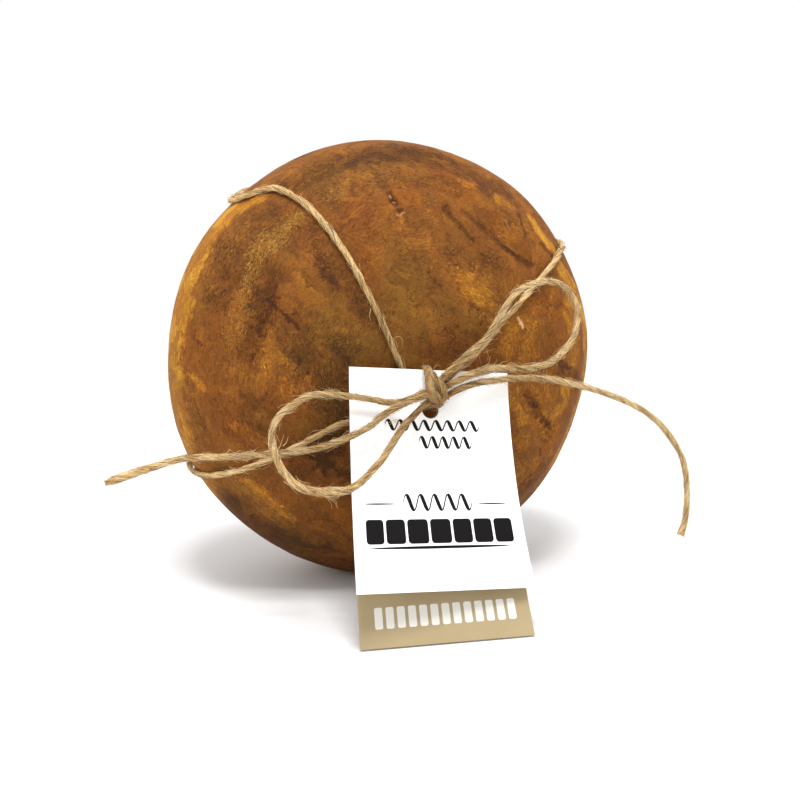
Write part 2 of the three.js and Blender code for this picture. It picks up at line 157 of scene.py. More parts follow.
# Single fibres that have sprung out of the twine.
LOOSE_FIBRES = (
    ((-65.4, -62, -23.9), (-63.9, -61, -21), (-62.8, -60, -18.5)),
    ((-63.8, -62, -22.8), (-61.9, -61, -21.1), (-61.2, -60, -19.4)),
    ((-54.1, -81, -37.3), (-51, -81, -40.4), (-49.8, -81, -42.5), (-49.4, -81, -44.5)),
    ((-53.4, -81, -37.8), (-50.3, -81.5, -40.3), (-48.5, -82, -42), (-47.3, -82, -44.1)),
    ((-53.8, -81, -37.4), (-49.9, -80, -40.2), (-47.5, -80, -41), (-45.9, -80, -40)),
    ((-52.6, -81, -38.3), (-50.1, -82, -40.2), (-48.4, -83, -40.9), (-48, -83, -42.5)),
    ((-49.6, -63, -2.6), (-47.5, -63, -1.8), (-45.9, -63, -0.9)),
    ((-66.3, -73, -34), (-63.9, -73, -36.2), (-62.5, -72, -37.4)),
    ((-61.6, -75, -33.1), (-59.1, -76, -34.2), (-56.9, -78, -34.7)),
    ((-15.4, -54, 15.8), (-14.2, -55, 17.5), (-12.5, -55.5, 17.5), (-11, -55, 15.7), (-11, -54, 13.5)),
    ((-24.5, -54, 29.3), (-25.1, -54, 26.9), (-24.5, -54, 24.4)),
    ((21.4, -58, 10), (21.9, -59, 6.8), (22.9, -59, 3.7)),
    ((25.5, -58, 10.7), (26, -58, 7.7), (25.2, -58, 5.2)),
    ((28.6, -58, 18.6), (30.9, -58, 18.1), (32.8, -58, 17.4)),
    ((48.3, -56, 36.8), (49.5, -56.5, 35.5), (50.3, -57, 33.9)),
    ((24.2, -58, 9.9), (26.5, -58, 10.2), (28.8, -58, 11)),
    ((26.1, -62, 4.4), (27.9, -62, 6), (28.3, -62, 7.7)),
    ((28.8, -62, 4.3), (31.1, -62, 5.9), (33.4, -62, 6.2)),
    ((32.1, -62, 4.1), (34.8, -62, 5.3), (37.6, -62, 4.7)),
    ((23.3, -62, 4.6), (24.7, -62, 6.2), (25.1, -62, 8.7)),
    ((39.5, -61, 3.2), (42.8, -61, 4.5), (46.1, -61, 4.5)),
    ((70.8, -51.5, 27.1), (72.5, -52, 26.6), (75, -52, 26.5)),
    ((-1.3, -62, 5.1), (-3.5, -62, 6), (-5.7, -62, 5.7)),
    ((0, -62, 4.6), (1.4, -62, 6.2), (2.7, -62, 5.7)),
    ((-17, -66, -14.4), (-19.6, -66, -15), (-22.2, -66, -16.5), (-23, -66, -17.2),
     (-20.9, -66, -16.6), (-18.8, -66, -15.5)),
    ((-18.8, -66, -15.5), (-17.5, -66, -14.7), (-16.6, -66, -16), (-17.5, -66, -17.6)),
    ((-84.6, -52, -26.3), (-83.4, -52, -25.2), (-82.6, -52, -24.8)),
    ((-77.6, -53, -27), (-75.6, -53, -26), (-73.9, -53, -26.5)),
    ((-46.3, -68, -21.6), (-44.6, -68, -19.7), (-43, -68, -20.2)),
    ((-52.4, -51, -24.9), (-51.8, -52, -22.6), (-50.1, -52, -21.9)),
    ((-75.5, -46, -35.1), (-73.4, -46, -34), (-72.1, -46, -32.8)),
    ((101.4, -57, -18.9), (103.4, -58, -19.3), (106.1, -58, -21.3)),
    ((122.8, -62, -76.2), (123.4, -62, -78.7), (123.5, -62, -80.1)),
    ((121.2, -62, -76.5), (120.8, -62, -78.9), (120.3, -62, -79.8)),
    ((-130.2, -52, -34.1), (-132.4, -52, -35.1), (-133.6, -52, -35.8)),
)

# The tag: two leaves on one hole.
CARD_THICKNESS = 0.5
TAG_TOP_SLOPE = 16
TAG_SWING = 5
FRONT_LEAF = ((-34.5, -56, 6.4), (35.5, -57, 0.1), (-44.5, -96.5, -74), (31, -96, -80.6))
BACK_LEAF = ((-33.6, -54.8, 5.9), (34.6, -55.8, -0.4), (-42, -93, -98), (28, -102, -98))
HOLE_PLACE = (-1.4, -60, -12.5)
HOLE_RADIUS = 3.7
HOLE_SIDES = 40
# A ring of narrow faces lies round the hole, and the leaf's even grid keeps clear of it.
HOLE_RING = 0.6
HOLE_CLEARANCE = 0.9
# A face is left out where its middle is within this share of the hole's radius.
HOLE_CUT = 0.99
LEAF_COLUMNS, LEAF_ROWS = 26, 30
# The film of print lies between these heights above the card's face.
PRINT_FOOT, PRINT_TOP = 0.01, 0.06

# The print in shares of a leaf. Waves: left, right, level, height and how many. Rules: left, right, level
# and thickness. Rows of blocks and bars: top, foot and corner.
WAVES = ((0.207, 0.797, 0.258, 0.044, 8), (0.411, 0.741, 0.336, 0.05, 5), (0.293, 0.706, 0.61, 0.07, 5))
RULES = ((0.07, 0.258, 0.616, 0.006), (0.738, 0.918, 0.618, 0.006), (0.076, 0.911, 0.81, 0.013))
BLOCK_WIDTHS = (0.1, 0.11, 0.12, 0.12, 0.11, 0.11, 0.11)
BLOCKS_START, BLOCK_GAP = 0.07, 0.0133
BLOCK_ROW = (0.685, 0.793, 0.018)
BARS, BARS_START, BAR_STEP, BAR_WIDTH = 13, 0.09, 0.0648, 0.046
BAR_ROW = (0.862, 0.936, 0.009)
# Half the pen's width on the way up, and what it gains on the way down. At the ends of a wave it is down
# to the tip's share over a few steps.
PEN_HAIRLINE, PEN_GAIN = 0.0035, 0.0075
PEN_TIP, PEN_TIP_STEPS = 0.4, 3
WAVE_STEPS = 14
# A leaf is taller than wide, so that a corner is this much flatter in shares of it.
CORNER_FLATNESS = 0.85

# The studio, in metres, and the lens in millimetres.
LENS = 48.5
FRAME_SHIFT = (0.0195, -0.052)
FLOOR_RADIUS = 1
FLOOR_LEVEL = -0.0002
LAMP_PLACE = (-0.12, -0.38, 1.25)
LAMP_SIZE = 0.4

# Kinds of node and settings that are used over and over.
MATH = "ShaderNodeMath"
VECTOR = "ShaderNodeVectorMath"
WHOLE = "FunctionNodeIntegerMath"
COMBINE = "ShaderNodeCombineXYZ"
SEPARATE = "ShaderNodeSeparateXYZ"
ATTRIBUTE = "ShaderNodeAttribute"
NOISE = "ShaderNodeTexNoise"
RANGE = "ShaderNodeMapRange"
MIX = "ShaderNodeMix"
SET_POSITION = "GeometryNodeSetPosition"
STORE = "GeometryNodeStoreNamedAttribute"
TO_MESH = "GeometryNodeCurveToMesh"
CIRCLE = "GeometryNodeCurvePrimitiveCircle"
LINE = "GeometryNodeMeshLine"
JOIN = "GeometryNodeJoinGeometry"
SMOOTH = {"interpolation_type": "SMOOTHSTEP"}
COLOURS = {"data_type": "RGBA"}


def srgb(text):
    """A hex sRGB colour as linear light."""
    parts = [int(text[i : i + 2], 16) / 255 for i in (0, 2, 4)]
    return [p / 12.92 if p <= 0.04045 else ((p + 0.055) / 1.055) ** 2.4 for p in parts]


def placed(point):
    """A point about the wheel's axis in millimetres, as a place in the scene in metres."""
    return Vector((point[0], point[1], point[2] + AXIS_HEIGHT)) * MM


def smoothstep(value, low, high):
    share = numpy.clip((value - low) / (high - low), 0, 1)
    return share * share * (3 - 2 * share)


def plug(node, inputs):
    """Links or sets a node's live inputs, each by its number or its name."""
    live = [socket for socket in node.inputs if socket.enabled]
    for key, value in inputs.items():
        socket = live[key] if isinstance(key, int) else next(s for s in live if s.name == key)
        if isinstance(value, bpy.types.NodeSocket):
            node.id_data.links.new(value, socket)
        else:
            socket.default_value = value


def add_node(tree, kind, *given, give=0, **settings):
    """Adds a node with its settings and inputs, and gives one of its outputs, or the node for None.

    The inputs come in order, after the operation where there is one, or as one table.
    """
    if given and isinstance(given[0], str):
        settings["operation"], *given = given
    node = tree.nodes.new(kind)
    for name, value in settings.items():
        setattr(node, name, value)
    plug(node, given[0] if given and isinstance(given[0], dict) else dict(enumerate(given)))
    if give is None:
        return node
    outputs = [socket for socket in node.outputs if socket.enabled]
    return outputs[give] if isinstance(give, int) else next(s for s in outputs if s.name == give)


def new_tree(name, inputs):
    """An empty geometry tree with named inputs, what adds its nodes, and the inputs' sockets."""
    tree = bpy.data.node_groups.new(name, "GeometryNodeTree")
    tree.interface.new_socket("Geometry", in_out="INPUT", socket_type="NodeSocketGeometry")
    for label, kind, value in inputs:
        socket = tree.interface.new_socket(label, in_out="INPUT", socket_type="NodeSocket" + kind)
        if value is not None:
            socket.default_value = value
    tree.interface.new_socket("Geometry", in_out="OUTPUT", socket_type="NodeSocketGeometry")
    add = partial(add_node, tree)
    return tree, add, add("NodeGroupInput", give=None).outputs


def close_tree(add, shape, material):
    """Ends a geometry tree with plain geometry in one material."""
    shape = add("GeometryNodeRealizeInstances", {"Geometry": shape})
    shape = add("GeometryNodeSetMaterial", {"Geometry": shape, "Material": material})
    add("NodeGroupOutput", {"Geometry": shape}, give=None)


def linked(name, data):
    """A new object in the scene."""
    item = bpy.data.objects.new(name, data)
    bpy.context.scene.collection.objects.link(item)
    return item


def made(name, shape, material):
    """A worked shape as an object in one material."""
    mesh = bpy.data.meshes.new(name)
    shape.to_mesh(mesh)
    shape.free()
    mesh.materials.append(material)
    return linked(name, mesh)


def aim(item, way):
    """Turns a camera or a lamp to look along a way."""
    item.rotation_mode = "QUATERNION"
    item.rotation_quaternion = way.to_track_quat("-Z", "Y")


def grown(name, tree, base, values):
    """Runs a geometry tree on a base mesh and gives the result as a plain mesh object."""
    piece = linked(name, base)
    modifier = piece.modifiers.new("shape", "NODES")
    modifier.node_group = tree
    for item in tree.interface.items_tree:
        if item.name in values and item.in_out == "INPUT":
            modifier[item.identifier] = values[item.name]
    graph = bpy.context.evaluated_depsgraph_get()
    mesh = bpy.data.meshes.new_from_object(piece.evaluated_get(graph))
    piece.modifiers.clear()
    piece.data = mesh
    bpy.data.meshes.remove(base)
    return piece


def settle(piece, slot, *nodes):
    """A finished piece moves with the whole object, and stands for these solids."""
    piece.data.name = piece.name
    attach(piece, "root")
    if nodes:
        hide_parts(*nodes)


def joined(name, parts):
    """Several pieces as one."""
    with bpy.context.temp_override(active_object=parts[0], selected_editable_objects=parts):
        bpy.ops.object.join()
    parts[0].name = name
    return parts[0]


def new_material(name):
    """A material, what adds its nodes, and its shader node."""
    material = bpy.data.materials.new(name)
    material.use_nodes = True
    tree = material.node_tree
    return material, partial(add_node, tree), tree.nodes["Principled BSDF"]


def smooth_route(points, steps):
    """Centripetal curve through the points, with the same number of steps between each two."""
    points = [Vector(point) for point in points]
    ends = [2 * points[0] - points[1]] + points + [2 * points[-1] - points[-2]]
    route = []
    for a, b, c, d in zip(ends, ends[1:], ends[2:], ends[3:]):
        ab, bc, cd = ((q - p).length ** 0.5 for p, q in ((a, b), (b, c), (c, d)))
        leave = ((b - a) / ab - (c - a) / (ab + bc) + (c - b) / bc) * bc
        reach = ((c - b) / bc - (d - b) / (bc + cd) + (d - c) / cd) * bc
        for step in range(steps):
            t = step / steps
            bend = (3 * (c - b) - 2 * leave - reach) * t + (2 * (b - c) + leave + reach) * t * t
            route.append(b + leave * t + bend * t)
    return route + [points[-1]]


def route_length(route):
    return sum((b - a).length for a, b in zip(route, route[1:]))


# Jute twine.


def jute_material():
    """Undyed jute, two plies laid together: dull tan, with straw-pale fibres and brown between them, partly
    painted shade in the hollows and painted highlight on the crests.
    """
    twine = bpy.context.scene.twine_settings
    material, add, shader = new_material("laid_jute")
    ring = add(ATTRIBUTE, give="Vector", attribute_name="ring")
    along = add(ATTRIBUTE, give="Fac", attribute_name="along")
    shade = add(ATTRIBUTE, give="Fac", attribute_name="shade")
    place = add("ShaderNodeTexCoord", give="Object")
    # A bundle of fibres is about 0.4 mm wide and shows for 7 mm before it turns under.
    lengthwise = add(COMBINE, 0, 0, along)
    wound = add(VECTOR, "SCALE", ring, 2.6)
    drawn = add(VECTOR, "SCALE", lengthwise, 140)
    way = add(VECTOR, "ADD", wound, drawn)
    bundles = add(NOISE, {"Vector": way, "Scale": 1, "Detail": 4, "Roughness": 0.65})
    patches = add(NOISE, {"Vector": place, "Scale": 90, "Detail": 2})
    mixed = add(MATH, "ADD", bundles, shade)
    mixed = add(MATH, "MULTIPLY_ADD", patches, 0.35, mixed)
    # Dark falls where the bump is low and pale where it is high: partly the jute's own streaks, partly
    # painted shade between the bundles and painted highlight on them.
    low = add(RANGE, mixed, 0.52, 0.74, **SMOOTH)
    high = add(RANGE, mixed, 0.66, 0.94, **SMOOTH)
    dark, mid, pale = ([*value, 1] for value in (twine.dark, twine.middle, twine.pale))
    colour = add(MIX, low, dark, mid, **COLOURS)
    colour = add(MIX, high, colour, pale, **COLOURS)
    # Within 70 mm of the knot the jute is browner, fully so within 10 mm of it.
    knot = placed(HOLE_PLACE)
    away = add(VECTOR, "DISTANCE", place, knot, give="Value")
    knot_tint = add(RANGE, away, 0.07, 0.01)
    colour = add(MIX, knot_tint, colour, [*twine.knot_tint, 1], **COLOURS, blend_type="MULTIPLY")
    bump = add("ShaderNodeBump", {"Strength": 0.9, "Distance": 0.0004, "Height": bundles})
    plug(shader, {"Base Color": colour, "Normal": bump, "Roughness": 0.85, "Specular IOR Level": 0.25})
    plug(shader, {"Sheen Weight": 0.06, "Sheen Roughness": 0.5})
    return material


def twine_tree():
    """Two plies wound round a line, and fibres that lie along them with ends that stray."""
    tree, add, given = new_tree(
        "laid twine",
        (
            ("Diameter", "Float", 0.003),
            ("Turn Length", "Float", 0.011),
            ("Step", "Float", 0.0007),
            ("Plies", "Int", 2),
            ("Fibres", "Int", 500),
            ("Fibre Length", "Float", 0.014),
            ("Fibre Width", "Float", 0.00015),
            ("Stray", "Float", 0.002),
            ("Seed", "Int", 1),
            ("Material", "Material", None),
        ),
    )
    line = add("GeometryNodeMeshToCurve", {"Mesh": given["Geometry"]})
    line = add("GeometryNodeResampleCurve", {"Curve": line, "Length": given["Step"]}, mode="LENGTH")
    width = add("GeometryNodeInputNamedAttribute", {"Name": "width"})

    # The plies: the middle of each lies 0.16 of the twine's thickness from its line and turns about it.
    plies = add(
        "GeometryNodeDuplicateElements",
        {"Geometry": line, "Amount": given["Plies"]}, give=None, domain="SPLINE"
    )
    length = add("GeometryNodeSplineParameter", give="Length")
    share = add(MATH, "DIVIDE", length, given["Turn Length"])
    apart = add(MATH, "DIVIDE", plies.outputs[1], given["Plies"])
    share = add(MATH, "ADD", share, apart)
    angle = add(MATH, "MULTIPLY", share, 2 * math.pi)
    normal = add("GeometryNodeInputNormal", give="Normal")
    tangent = add("GeometryNodeInputTangent")
    outward = add(
        "ShaderNodeVectorRotate",
        {"Vector": normal, "Axis": tangent, "Angle": angle}, rotation_type="AXIS_ANGLE"
    )
    thick = add(MATH, "MULTIPLY", width, given["Diameter"])
    reach = add(MATH, "MULTIPLY", thick, 0.16)
    outward = add(VECTOR, "SCALE", outward, reach)
    strands = add(STORE, {"Geometry": plies.outputs[0], "Name": "along", "Value": length})
    strands = add(SET_POSITION, {"Geometry": strands, "Offset": outward})
    back = add(MATH, "MULTIPLY", angle, -0.2)
    strands = add("GeometryNodeSetCurveTilt", {"Curve": strands, "Tilt": back})
    # The profile of a ply has six grooves, 12 percent deep, between its bundles of fibres.
    ring = add(CIRCLE, {"Resolution": 12, "Radius": 1})
    place = add("GeometryNodeInputPosition")
    ring = add(STORE, {"Geometry": ring, "Name": "ring", "Value": place}, data_type="FLOAT_VECTOR")
    index = add("GeometryNodeInputIndex")
    groove = add(WHOLE, "MODULO", index, 2)
    groove = add(MATH, "MULTIPLY_ADD", groove, -0.12, 1)
    grooved = add(VECTOR, "SCALE", place, groove)
    ring = add(SET_POSITION, {"Geometry": ring, "Position": grooved})
    # Lumps of 2.4 mm make a ply thicker and thinner along its way.
    lumps = add(NOISE, {"Scale": 420, "Detail": 1})
    uneven = add(MATH, "MULTIPLY_ADD", lumps, 0.16, 0.25)
    half = add(MATH, "MULTIPLY", thick, uneven)
    strands = add(TO_MESH, {"Curve": strands, "Profile Curve": ring, "Scale": half, "Fill Caps": True})

    # The fibres: each is a short line of seven points, laid along the twine's line. By chance each gets its
    # start, its length, its side, how loose it is, its shade and which way it runs.
    stops = 7
    seeds = add(LINE, {"Count": given["Fibres"], "Offset": (0, 0, 0)})
    hair = add(LINE, {"Count": stops, "Offset": (0, 0, 0.001)})
    hairs = add("GeometryNodeInstanceOnPoints", {"Points": seeds, "Instance": hair})
    hairs = add("GeometryNodeRealizeInstances", {"Geometry": hairs})
    number = add(WHOLE, "DIVIDE_FLOOR", index, stops)
    stop = add(WHOLE, "MODULO", index, stops)
    stop = add(MATH, "DIVIDE", stop, stops - 1)
    chance = []
    spreads = ((0, 1), (0.35, 1), (0, 2 * math.pi), (0, 1), (-0.3, 0.45), (-1, 1))
    for step, (least, most) in enumerate(spreads):
        salt = add(WHOLE, "ADD", given["Seed"], 17 * step + 1)
        chance.append(add(
            "FunctionNodeRandomValue",
            {"Min": least, "Max": most, "ID": number, "Seed": salt}
        ))
    total = add("GeometryNodeCurveLength", {"Curve": line})
    start = add(MATH, "MULTIPLY", total, chance[0])
    span = add(MATH, "MULTIPLY", chance[1], given["Fibre Length"])
    way = add(MATH, "SIGN", chance[5])
    span = add(MATH, "MULTIPLY", span, way)
    reached = add(MATH, "MULTIPLY_ADD", span, stop, start)
    found = add(
        "GeometryNodeSampleCurve",
        {"Curves": line, "Value": width, "Length": reached}, give=None, mode="LENGTH"
    ).outputs
    wound = add(MATH, "DIVIDE", reached, given["Turn Length"])
    wound = add(MATH, "MULTIPLY_ADD", wound, 5, chance[2])
    outward = add(
        "ShaderNodeVectorRotate",
        {"Vector": found["Normal"], "Axis": found["Tangent"], "Angle": wound}, rotation_type="AXIS_ANGLE"
    )
    # Only a few fibres stray, and those mostly at their far end.
    rare = add(MATH, "POWER", chance[3], 3.5)
    late = add(MATH, "POWER", stop, 2)
    loose = add(MATH, "MULTIPLY", rare, late)
    loose = add(MATH, "MULTIPLY", loose, given["Stray"])
    flush = add(MATH, "MULTIPLY", found["Value"], given["Diameter"])
    flush = add(MATH, "MULTIPLY_ADD", flush, 0.455, loose)
    outward = add(VECTOR, "SCALE", outward, flush)
    spot = add(VECTOR, "ADD", found["Position"], outward)
    quiver = add(NOISE, {"Vector": spot, "Scale": 330, "Detail": 1}, give="Color")
    quiver = add(VECTOR, "SUBTRACT", quiver, (0.5, 0.5, 0.5))
    swing = add(MATH, "MULTIPLY_ADD", loose, 0.8, 0.0003)
    quiver = add(VECTOR, "SCALE", quiver, swing)
    spot = add(VECTOR, "ADD", spot, quiver)
    hairs = add(SET_POSITION, {"Geometry": hairs, "Position": spot})
    for label, value in (("shade", chance[4]), ("along", reached), ("thin", stop)):
        hairs = add(STORE, {"Geometry": hairs, "Name": label, "Value": value})
    hairs = add("GeometryNodeMeshToCurve", {"Mesh": hairs})
    taper = add("GeometryNodeInputNamedAttribute", {"Name": "thin"})
    taper = add(MATH, "MULTIPLY_ADD", taper, -0.3, 0.5)
    taper = add(MATH, "MULTIPLY", taper, given["Fibre Width"])
    three = add(CIRCLE, {"Resolution": 3, "Radius": 1})
    hairs = add(TO_MESH, {"Curve": hairs, "Profile Curve": three, "Scale": taper, "Fill Caps": True})
    both = add(JOIN, strands, give=None)
    plug(both, {0: hairs})
    shape = add("GeometryNodeSetShadeSmooth", {"Geometry": both.outputs[0]})
    close_tree(add, shape, given["Material"])
    return tree


def twine(name, points, swell, steps=ROUTE_STEPS, seed=1, fibres=None):
    """Twine along a route in millimetres, which is smooth already where steps is 1."""
    settings = bpy.context.scene.twine_settings
    route = smooth_route(points, steps) if steps > 1 else [Vector(point) for point in points]
    base = bpy.data.meshes.new(name)
    base.from_pydata([placed(p) for p in route], [(i, i + 1) for i in range(len(route) - 1)], [])
    shares = numpy.linspace(0, 1, len(route))
    widths = numpy.interp(shares, [s for s, w in swell], [w for s, w in swell])
    base.attributes.new("width", "FLOAT", "POINT").data.foreach_set("value", widths)
    count = (settings.fibres_per_mm if fibres is None else fibres) * route_length(route)
    tree = bpy.data.node_groups.get("laid twine") or twine_tree()
    values = {
        "Diameter": settings.diameter,
        "Turn Length": settings.turn_length,
        "Fibres": int(count),
        "Seed": seed,
        "Material": bpy.data.materials.get("laid_jute") or jute_material(),
    }
    return grown(name, tree, base, values)


def fibre_tree():
    """Fine tapering fibres along lines."""
    tree, add, given = new_tree("single fibres", (("Width", "Float", 0.0002), ("Material", "Material", None)))
    line = add("GeometryNodeMeshToCurve", {"Mesh": given["Geometry"]})
    place = add("GeometryNodeInputPosition")
    quiver = add(NOISE, {"Vector": place, "Scale": 500, "Detail": 1}, give="Color")
    quiver = add(VECTOR, "SUBTRACT", quiver, (0.5, 0.5, 0.5))
    quiver = add(VECTOR, "SCALE", quiver, 0.001)
    line = add(SET_POSITION, {"Geometry": line, "Offset": quiver})
    share = add("GeometryNodeSplineParameter", give="Factor")
    taper = add(MATH, "MULTIPLY_ADD", share, -0.3, 0.5)
    taper = add(MATH, "MULTIPLY", taper, given["Width"])
    round_line = add(CIRCLE, {"Resolution": 4, "Radius": 1})
    shape = add(TO_MESH, {"Curve": line, "Profile Curve": round_line, "Scale": taper, "Fill Caps": True})
    shape = add(STORE, {"Geometry": shape, "Name": "shade", "Value": 0.1})
    close_tree(add, shape, given["Material"])
    return tree


def section(polar, lift):
    """Radius and depth of the wheel's outline at an angle from the front, raised by lift."""
    sine = max(math.sin(polar), 0)
    cosine = math.cos(polar)
    share = math.copysign(abs(cosine) ** (2 / FACE_FULLNESS), cosine)
    return (WHEEL_RADIUS + lift) * sine ** (2 / RIM_FULLNESS), -(WHEEL_HALF_THICKNESS + lift) * share


def leg_points(heading, offset, skew, hook, skip, curl=0):
    """One leg of the tie, from the front of the wheel to the back."""
    at_rim = offset + skew * (WHEEL_HALF_THICKNESS + LEG_LIFT)
    points = []
    for stop in range(skip, LEG_STOPS + 1):
        polar = LEG_FRONT_POLAR + (LEG_BACK_POLAR - LEG_FRONT_POLAR) * stop / LEG_STOPS
        radius, depth = section(math.radians(polar), LEG_LIFT)
        beside = offset + skew * (depth + WHEEL_HALF_THICKNESS + LEG_LIFT)
        if depth >= 0:
            beside = at_rim + (hook - at_rim) * float(smoothstep(depth, 0, WHEEL_HALF_THICKNESS))
        beside += curl * float(smoothstep(depth, *CURL_DEPTHS) - smoothstep(depth, 0, WHEEL_HALF_THICKNESS))
        turn = math.radians(heading) + math.asin(beside / radius)
        points.append((radius * math.cos(turn), depth, radius * math.sin(turn)))
    return points


def tie_points():
    """The whole tie's points, and for each how firmly it lies on the rind, from 0 to 1."""
    stretches = (
        (KNOT_TO_LEG, 0),
        (leg_points(**UPPER_RIGHT_LEG), 1),
        (HOOK_RIGHT, 0),
        (leg_points(**LOWER_RIGHT_LEG)[::-1], 1),
        (leg_points(**UPPER_LEFT_LEG), 1),
        (HOOK_LEFT, 0),
        (leg_points(**LOWER_LEFT_LEG)[::-1], 1),
        (LEG_TO_HOLE, 0),
    )
    points = [point for stretch, firm in stretches for point in stretch]
    return points, [firm for stretch, firm in stretches for point in stretch]


# The wheel.


def wheel_tree():
    """The wheel: a ball of even squares pulled to the wheel's outline, then sunk by the rind's relief."""
    tree, add, given = new_tree(
        "cheese wheel",
        (
            ("Radius", "Float", 0.1),
            ("Half Thickness", "Float", 0.05),
            ("Rim Fullness", "Float", RIM_FULLNESS),
            ("Face Fullness", "Float", FACE_FULLNESS),
            ("Axis Height", "Float", AXIS_HEIGHT * MM),
            ("Squares", "Int", 122),
            ("Hollow Depth", "Float", 0.0011),
            ("Ring Dip Depth", "Float", 0.0007),
            ("Crease Depth", "Float", 0.0016),
            ("Pit Depth", "Float", 0.0019),
            ("Grain Depth", "Float", 0.0006),
            ("Material", "Material", None),
        ),
    )
    side = add(WHOLE, "ADD", given["Squares"], 1)
    cube = add(
        "GeometryNodeMeshCube",
        {"Size": (2, 2, 2), "Vertices X": side, "Vertices Y": side, "Vertices Z": side}
    )
    place = add("GeometryNodeInputPosition")
    # The squares are spread evenly over the ball.
    eased = add(VECTOR, "SCALE", place, math.pi / 4)
    eased = add(VECTOR, "TANGENT", eased)
    unit = add(VECTOR, "NORMALIZE", eased)
    flat = add(VECTOR, "MULTIPLY", unit, (1, 0, 1))
    sine = add(VECTOR, "LENGTH", flat, give="Value")
    power = add(MATH, "DIVIDE", 2, given["Rim Fullness"])
    radius = add(MATH, "POWER", sine, power)
    radius = add(MATH, "MULTIPLY", radius, given["Radius"])
    around = add(VECTOR, "NORMALIZE", flat)
    around = add(VECTOR, "SCALE", around, radius)
    cosine = add(SEPARATE, unit, give="Y")
    size = add(MATH, "ABSOLUTE", cosine)
    power = add(MATH, "DIVIDE", 2, given["Face Fullness"])
    depth = add(MATH, "POWER", size, power)
    front = add(MATH, "SIGN", cosine)
    depth = add(MATH, "MULTIPLY", depth, front)
    depth = add(MATH, "MULTIPLY", depth, given["Half Thickness"])
    depth = add(COMBINE, 0, depth)
    outline = add(VECTOR, "ADD", around, depth)
    wheel = add(SET_POSITION, {"Geometry": cube, "Position": outline})

    # Broad hollows, in millimetres from here on.
    spot = add(VECTOR, "SCALE", place, 1000)
    waves = add(VECTOR, "DIVIDE", spot, (17, 23, 14))
    wave = add(SEPARATE, waves, give=None).outputs
    across = add(MATH, "ADD", wave["X"], wave["Y"])
    across = add(MATH, "SINE", across)
    upward = add(MATH, "ADD", wave["Z"], 1)
    upward = add(MATH, "SINE", upward)
    hollow = add(MATH, "MULTIPLY_ADD", across, upward, 1)
    hollow = add(MATH, "MULTIPLY", hollow, 0.5)
    relief = add(MATH, "MULTIPLY", hollow, given["Hollow Depth"])
    # A shallow dip outside the ring that the mould left, the creases and the pits fade with distance.
    level = add(VECTOR, "MULTIPLY", spot, (1, 0, 1))
    far = add(VECTOR, "LENGTH", level, give="Value")
    away = add(MATH, "SUBTRACT", far, RING_DIP_RADIUS)
    marks = [(away, 4, given["Ring Dip Depth"], None)]
    behind = add(SEPARATE, spot, give="Y")
    behind = add(MATH, "GREATER_THAN", behind, 0)
    before = add(MATH, "SUBTRACT", 1, behind)
    for lines, pits, here in ((FRONT_CREASES, FRONT_PITS, before), (BACK_CREASES, BACK_PITS, behind)):
        creases = add(JOIN, give=None)
        for x1, z1, x2, z2 in lines:
            ends = {"Start Location": (x1, 0, z1), "Offset": (x2 - x1, 0, z2 - z1)}
            plug(creases, {0: add(LINE, {"Count": 2, **ends})})
        holes = add(JOIN, give=None)
        for x, z in pits:
            plug(holes, {0: add(LINE, {"Count": 1, "Start Location": (x, 0, z)})})
        for target, form, wide, deep in (
            (creases, "EDGES", 4, given["Crease Depth"]),
            (holes, "POINTS", 1.5, given["Pit Depth"]),
        ):
            near = add(
                "GeometryNodeProximity",
                {0: target.outputs[0], "Sample Position": level}, give="Distance", target_element=form
            )
            marks.append((near, wide, deep, here))
    for distance, wide, deep, here in marks:
        ratio = add(MATH, "DIVIDE", distance, wide)
        square = add(MATH, "MULTIPLY", ratio, ratio)
        fade = add(MATH, "MULTIPLY", square, -1)
        fade = add(MATH, "EXPONENT", fade)
        if here is not None:
            fade = add(MATH, "MULTIPLY", fade, here)
        relief = add(MATH, "MULTIPLY_ADD", fade, deep, relief)
    # Uneven grain of the rind, 9 mm and finer.
    grain = add(NOISE, {"Vector": spot, "Scale": 0.11, "Detail": 5, "Roughness": 0.6})
    relief = add(MATH, "MULTIPLY_ADD", grain, given["Grain Depth"], relief)
    # The relief fades out within 24 to 46 mm of the place where the wheel stands.
    foot = add(VECTOR, "ADD", spot, (0, 0, WHEEL_RADIUS))
    foot = add(VECTOR, "LENGTH", foot, give="Value")
    calm = add(RANGE, foot, 24, 46, **SMOOTH)
    relief = add(MATH, "MULTIPLY", relief, calm)
    inward = add(MATH, "MULTIPLY", relief, -1)
    normal = add("GeometryNodeInputNormal", give="Normal")
    sunk = add(VECTOR, "SCALE", normal, inward)
    wheel = add(SET_POSITION, {"Geometry": wheel, "Offset": sunk})
    # The wheel is raised onto the floor, and what would lie below becomes the small flat that it stands on.
    raised = add(COMBINE, 0, 0, given["Axis Height"])
    wheel = add(SET_POSITION, {"Geometry": wheel, "Offset": raised})
    lowest = add(VECTOR, "MAXIMUM", place, (-1, -1, 0))
    wheel = add(SET_POSITION, {"Geometry": wheel, "Position": lowest})
    wheel = add("GeometryNodeSetShadeSmooth", {"Geometry": wheel})
    close_tree(add, wheel, given["Material"])
    return tree


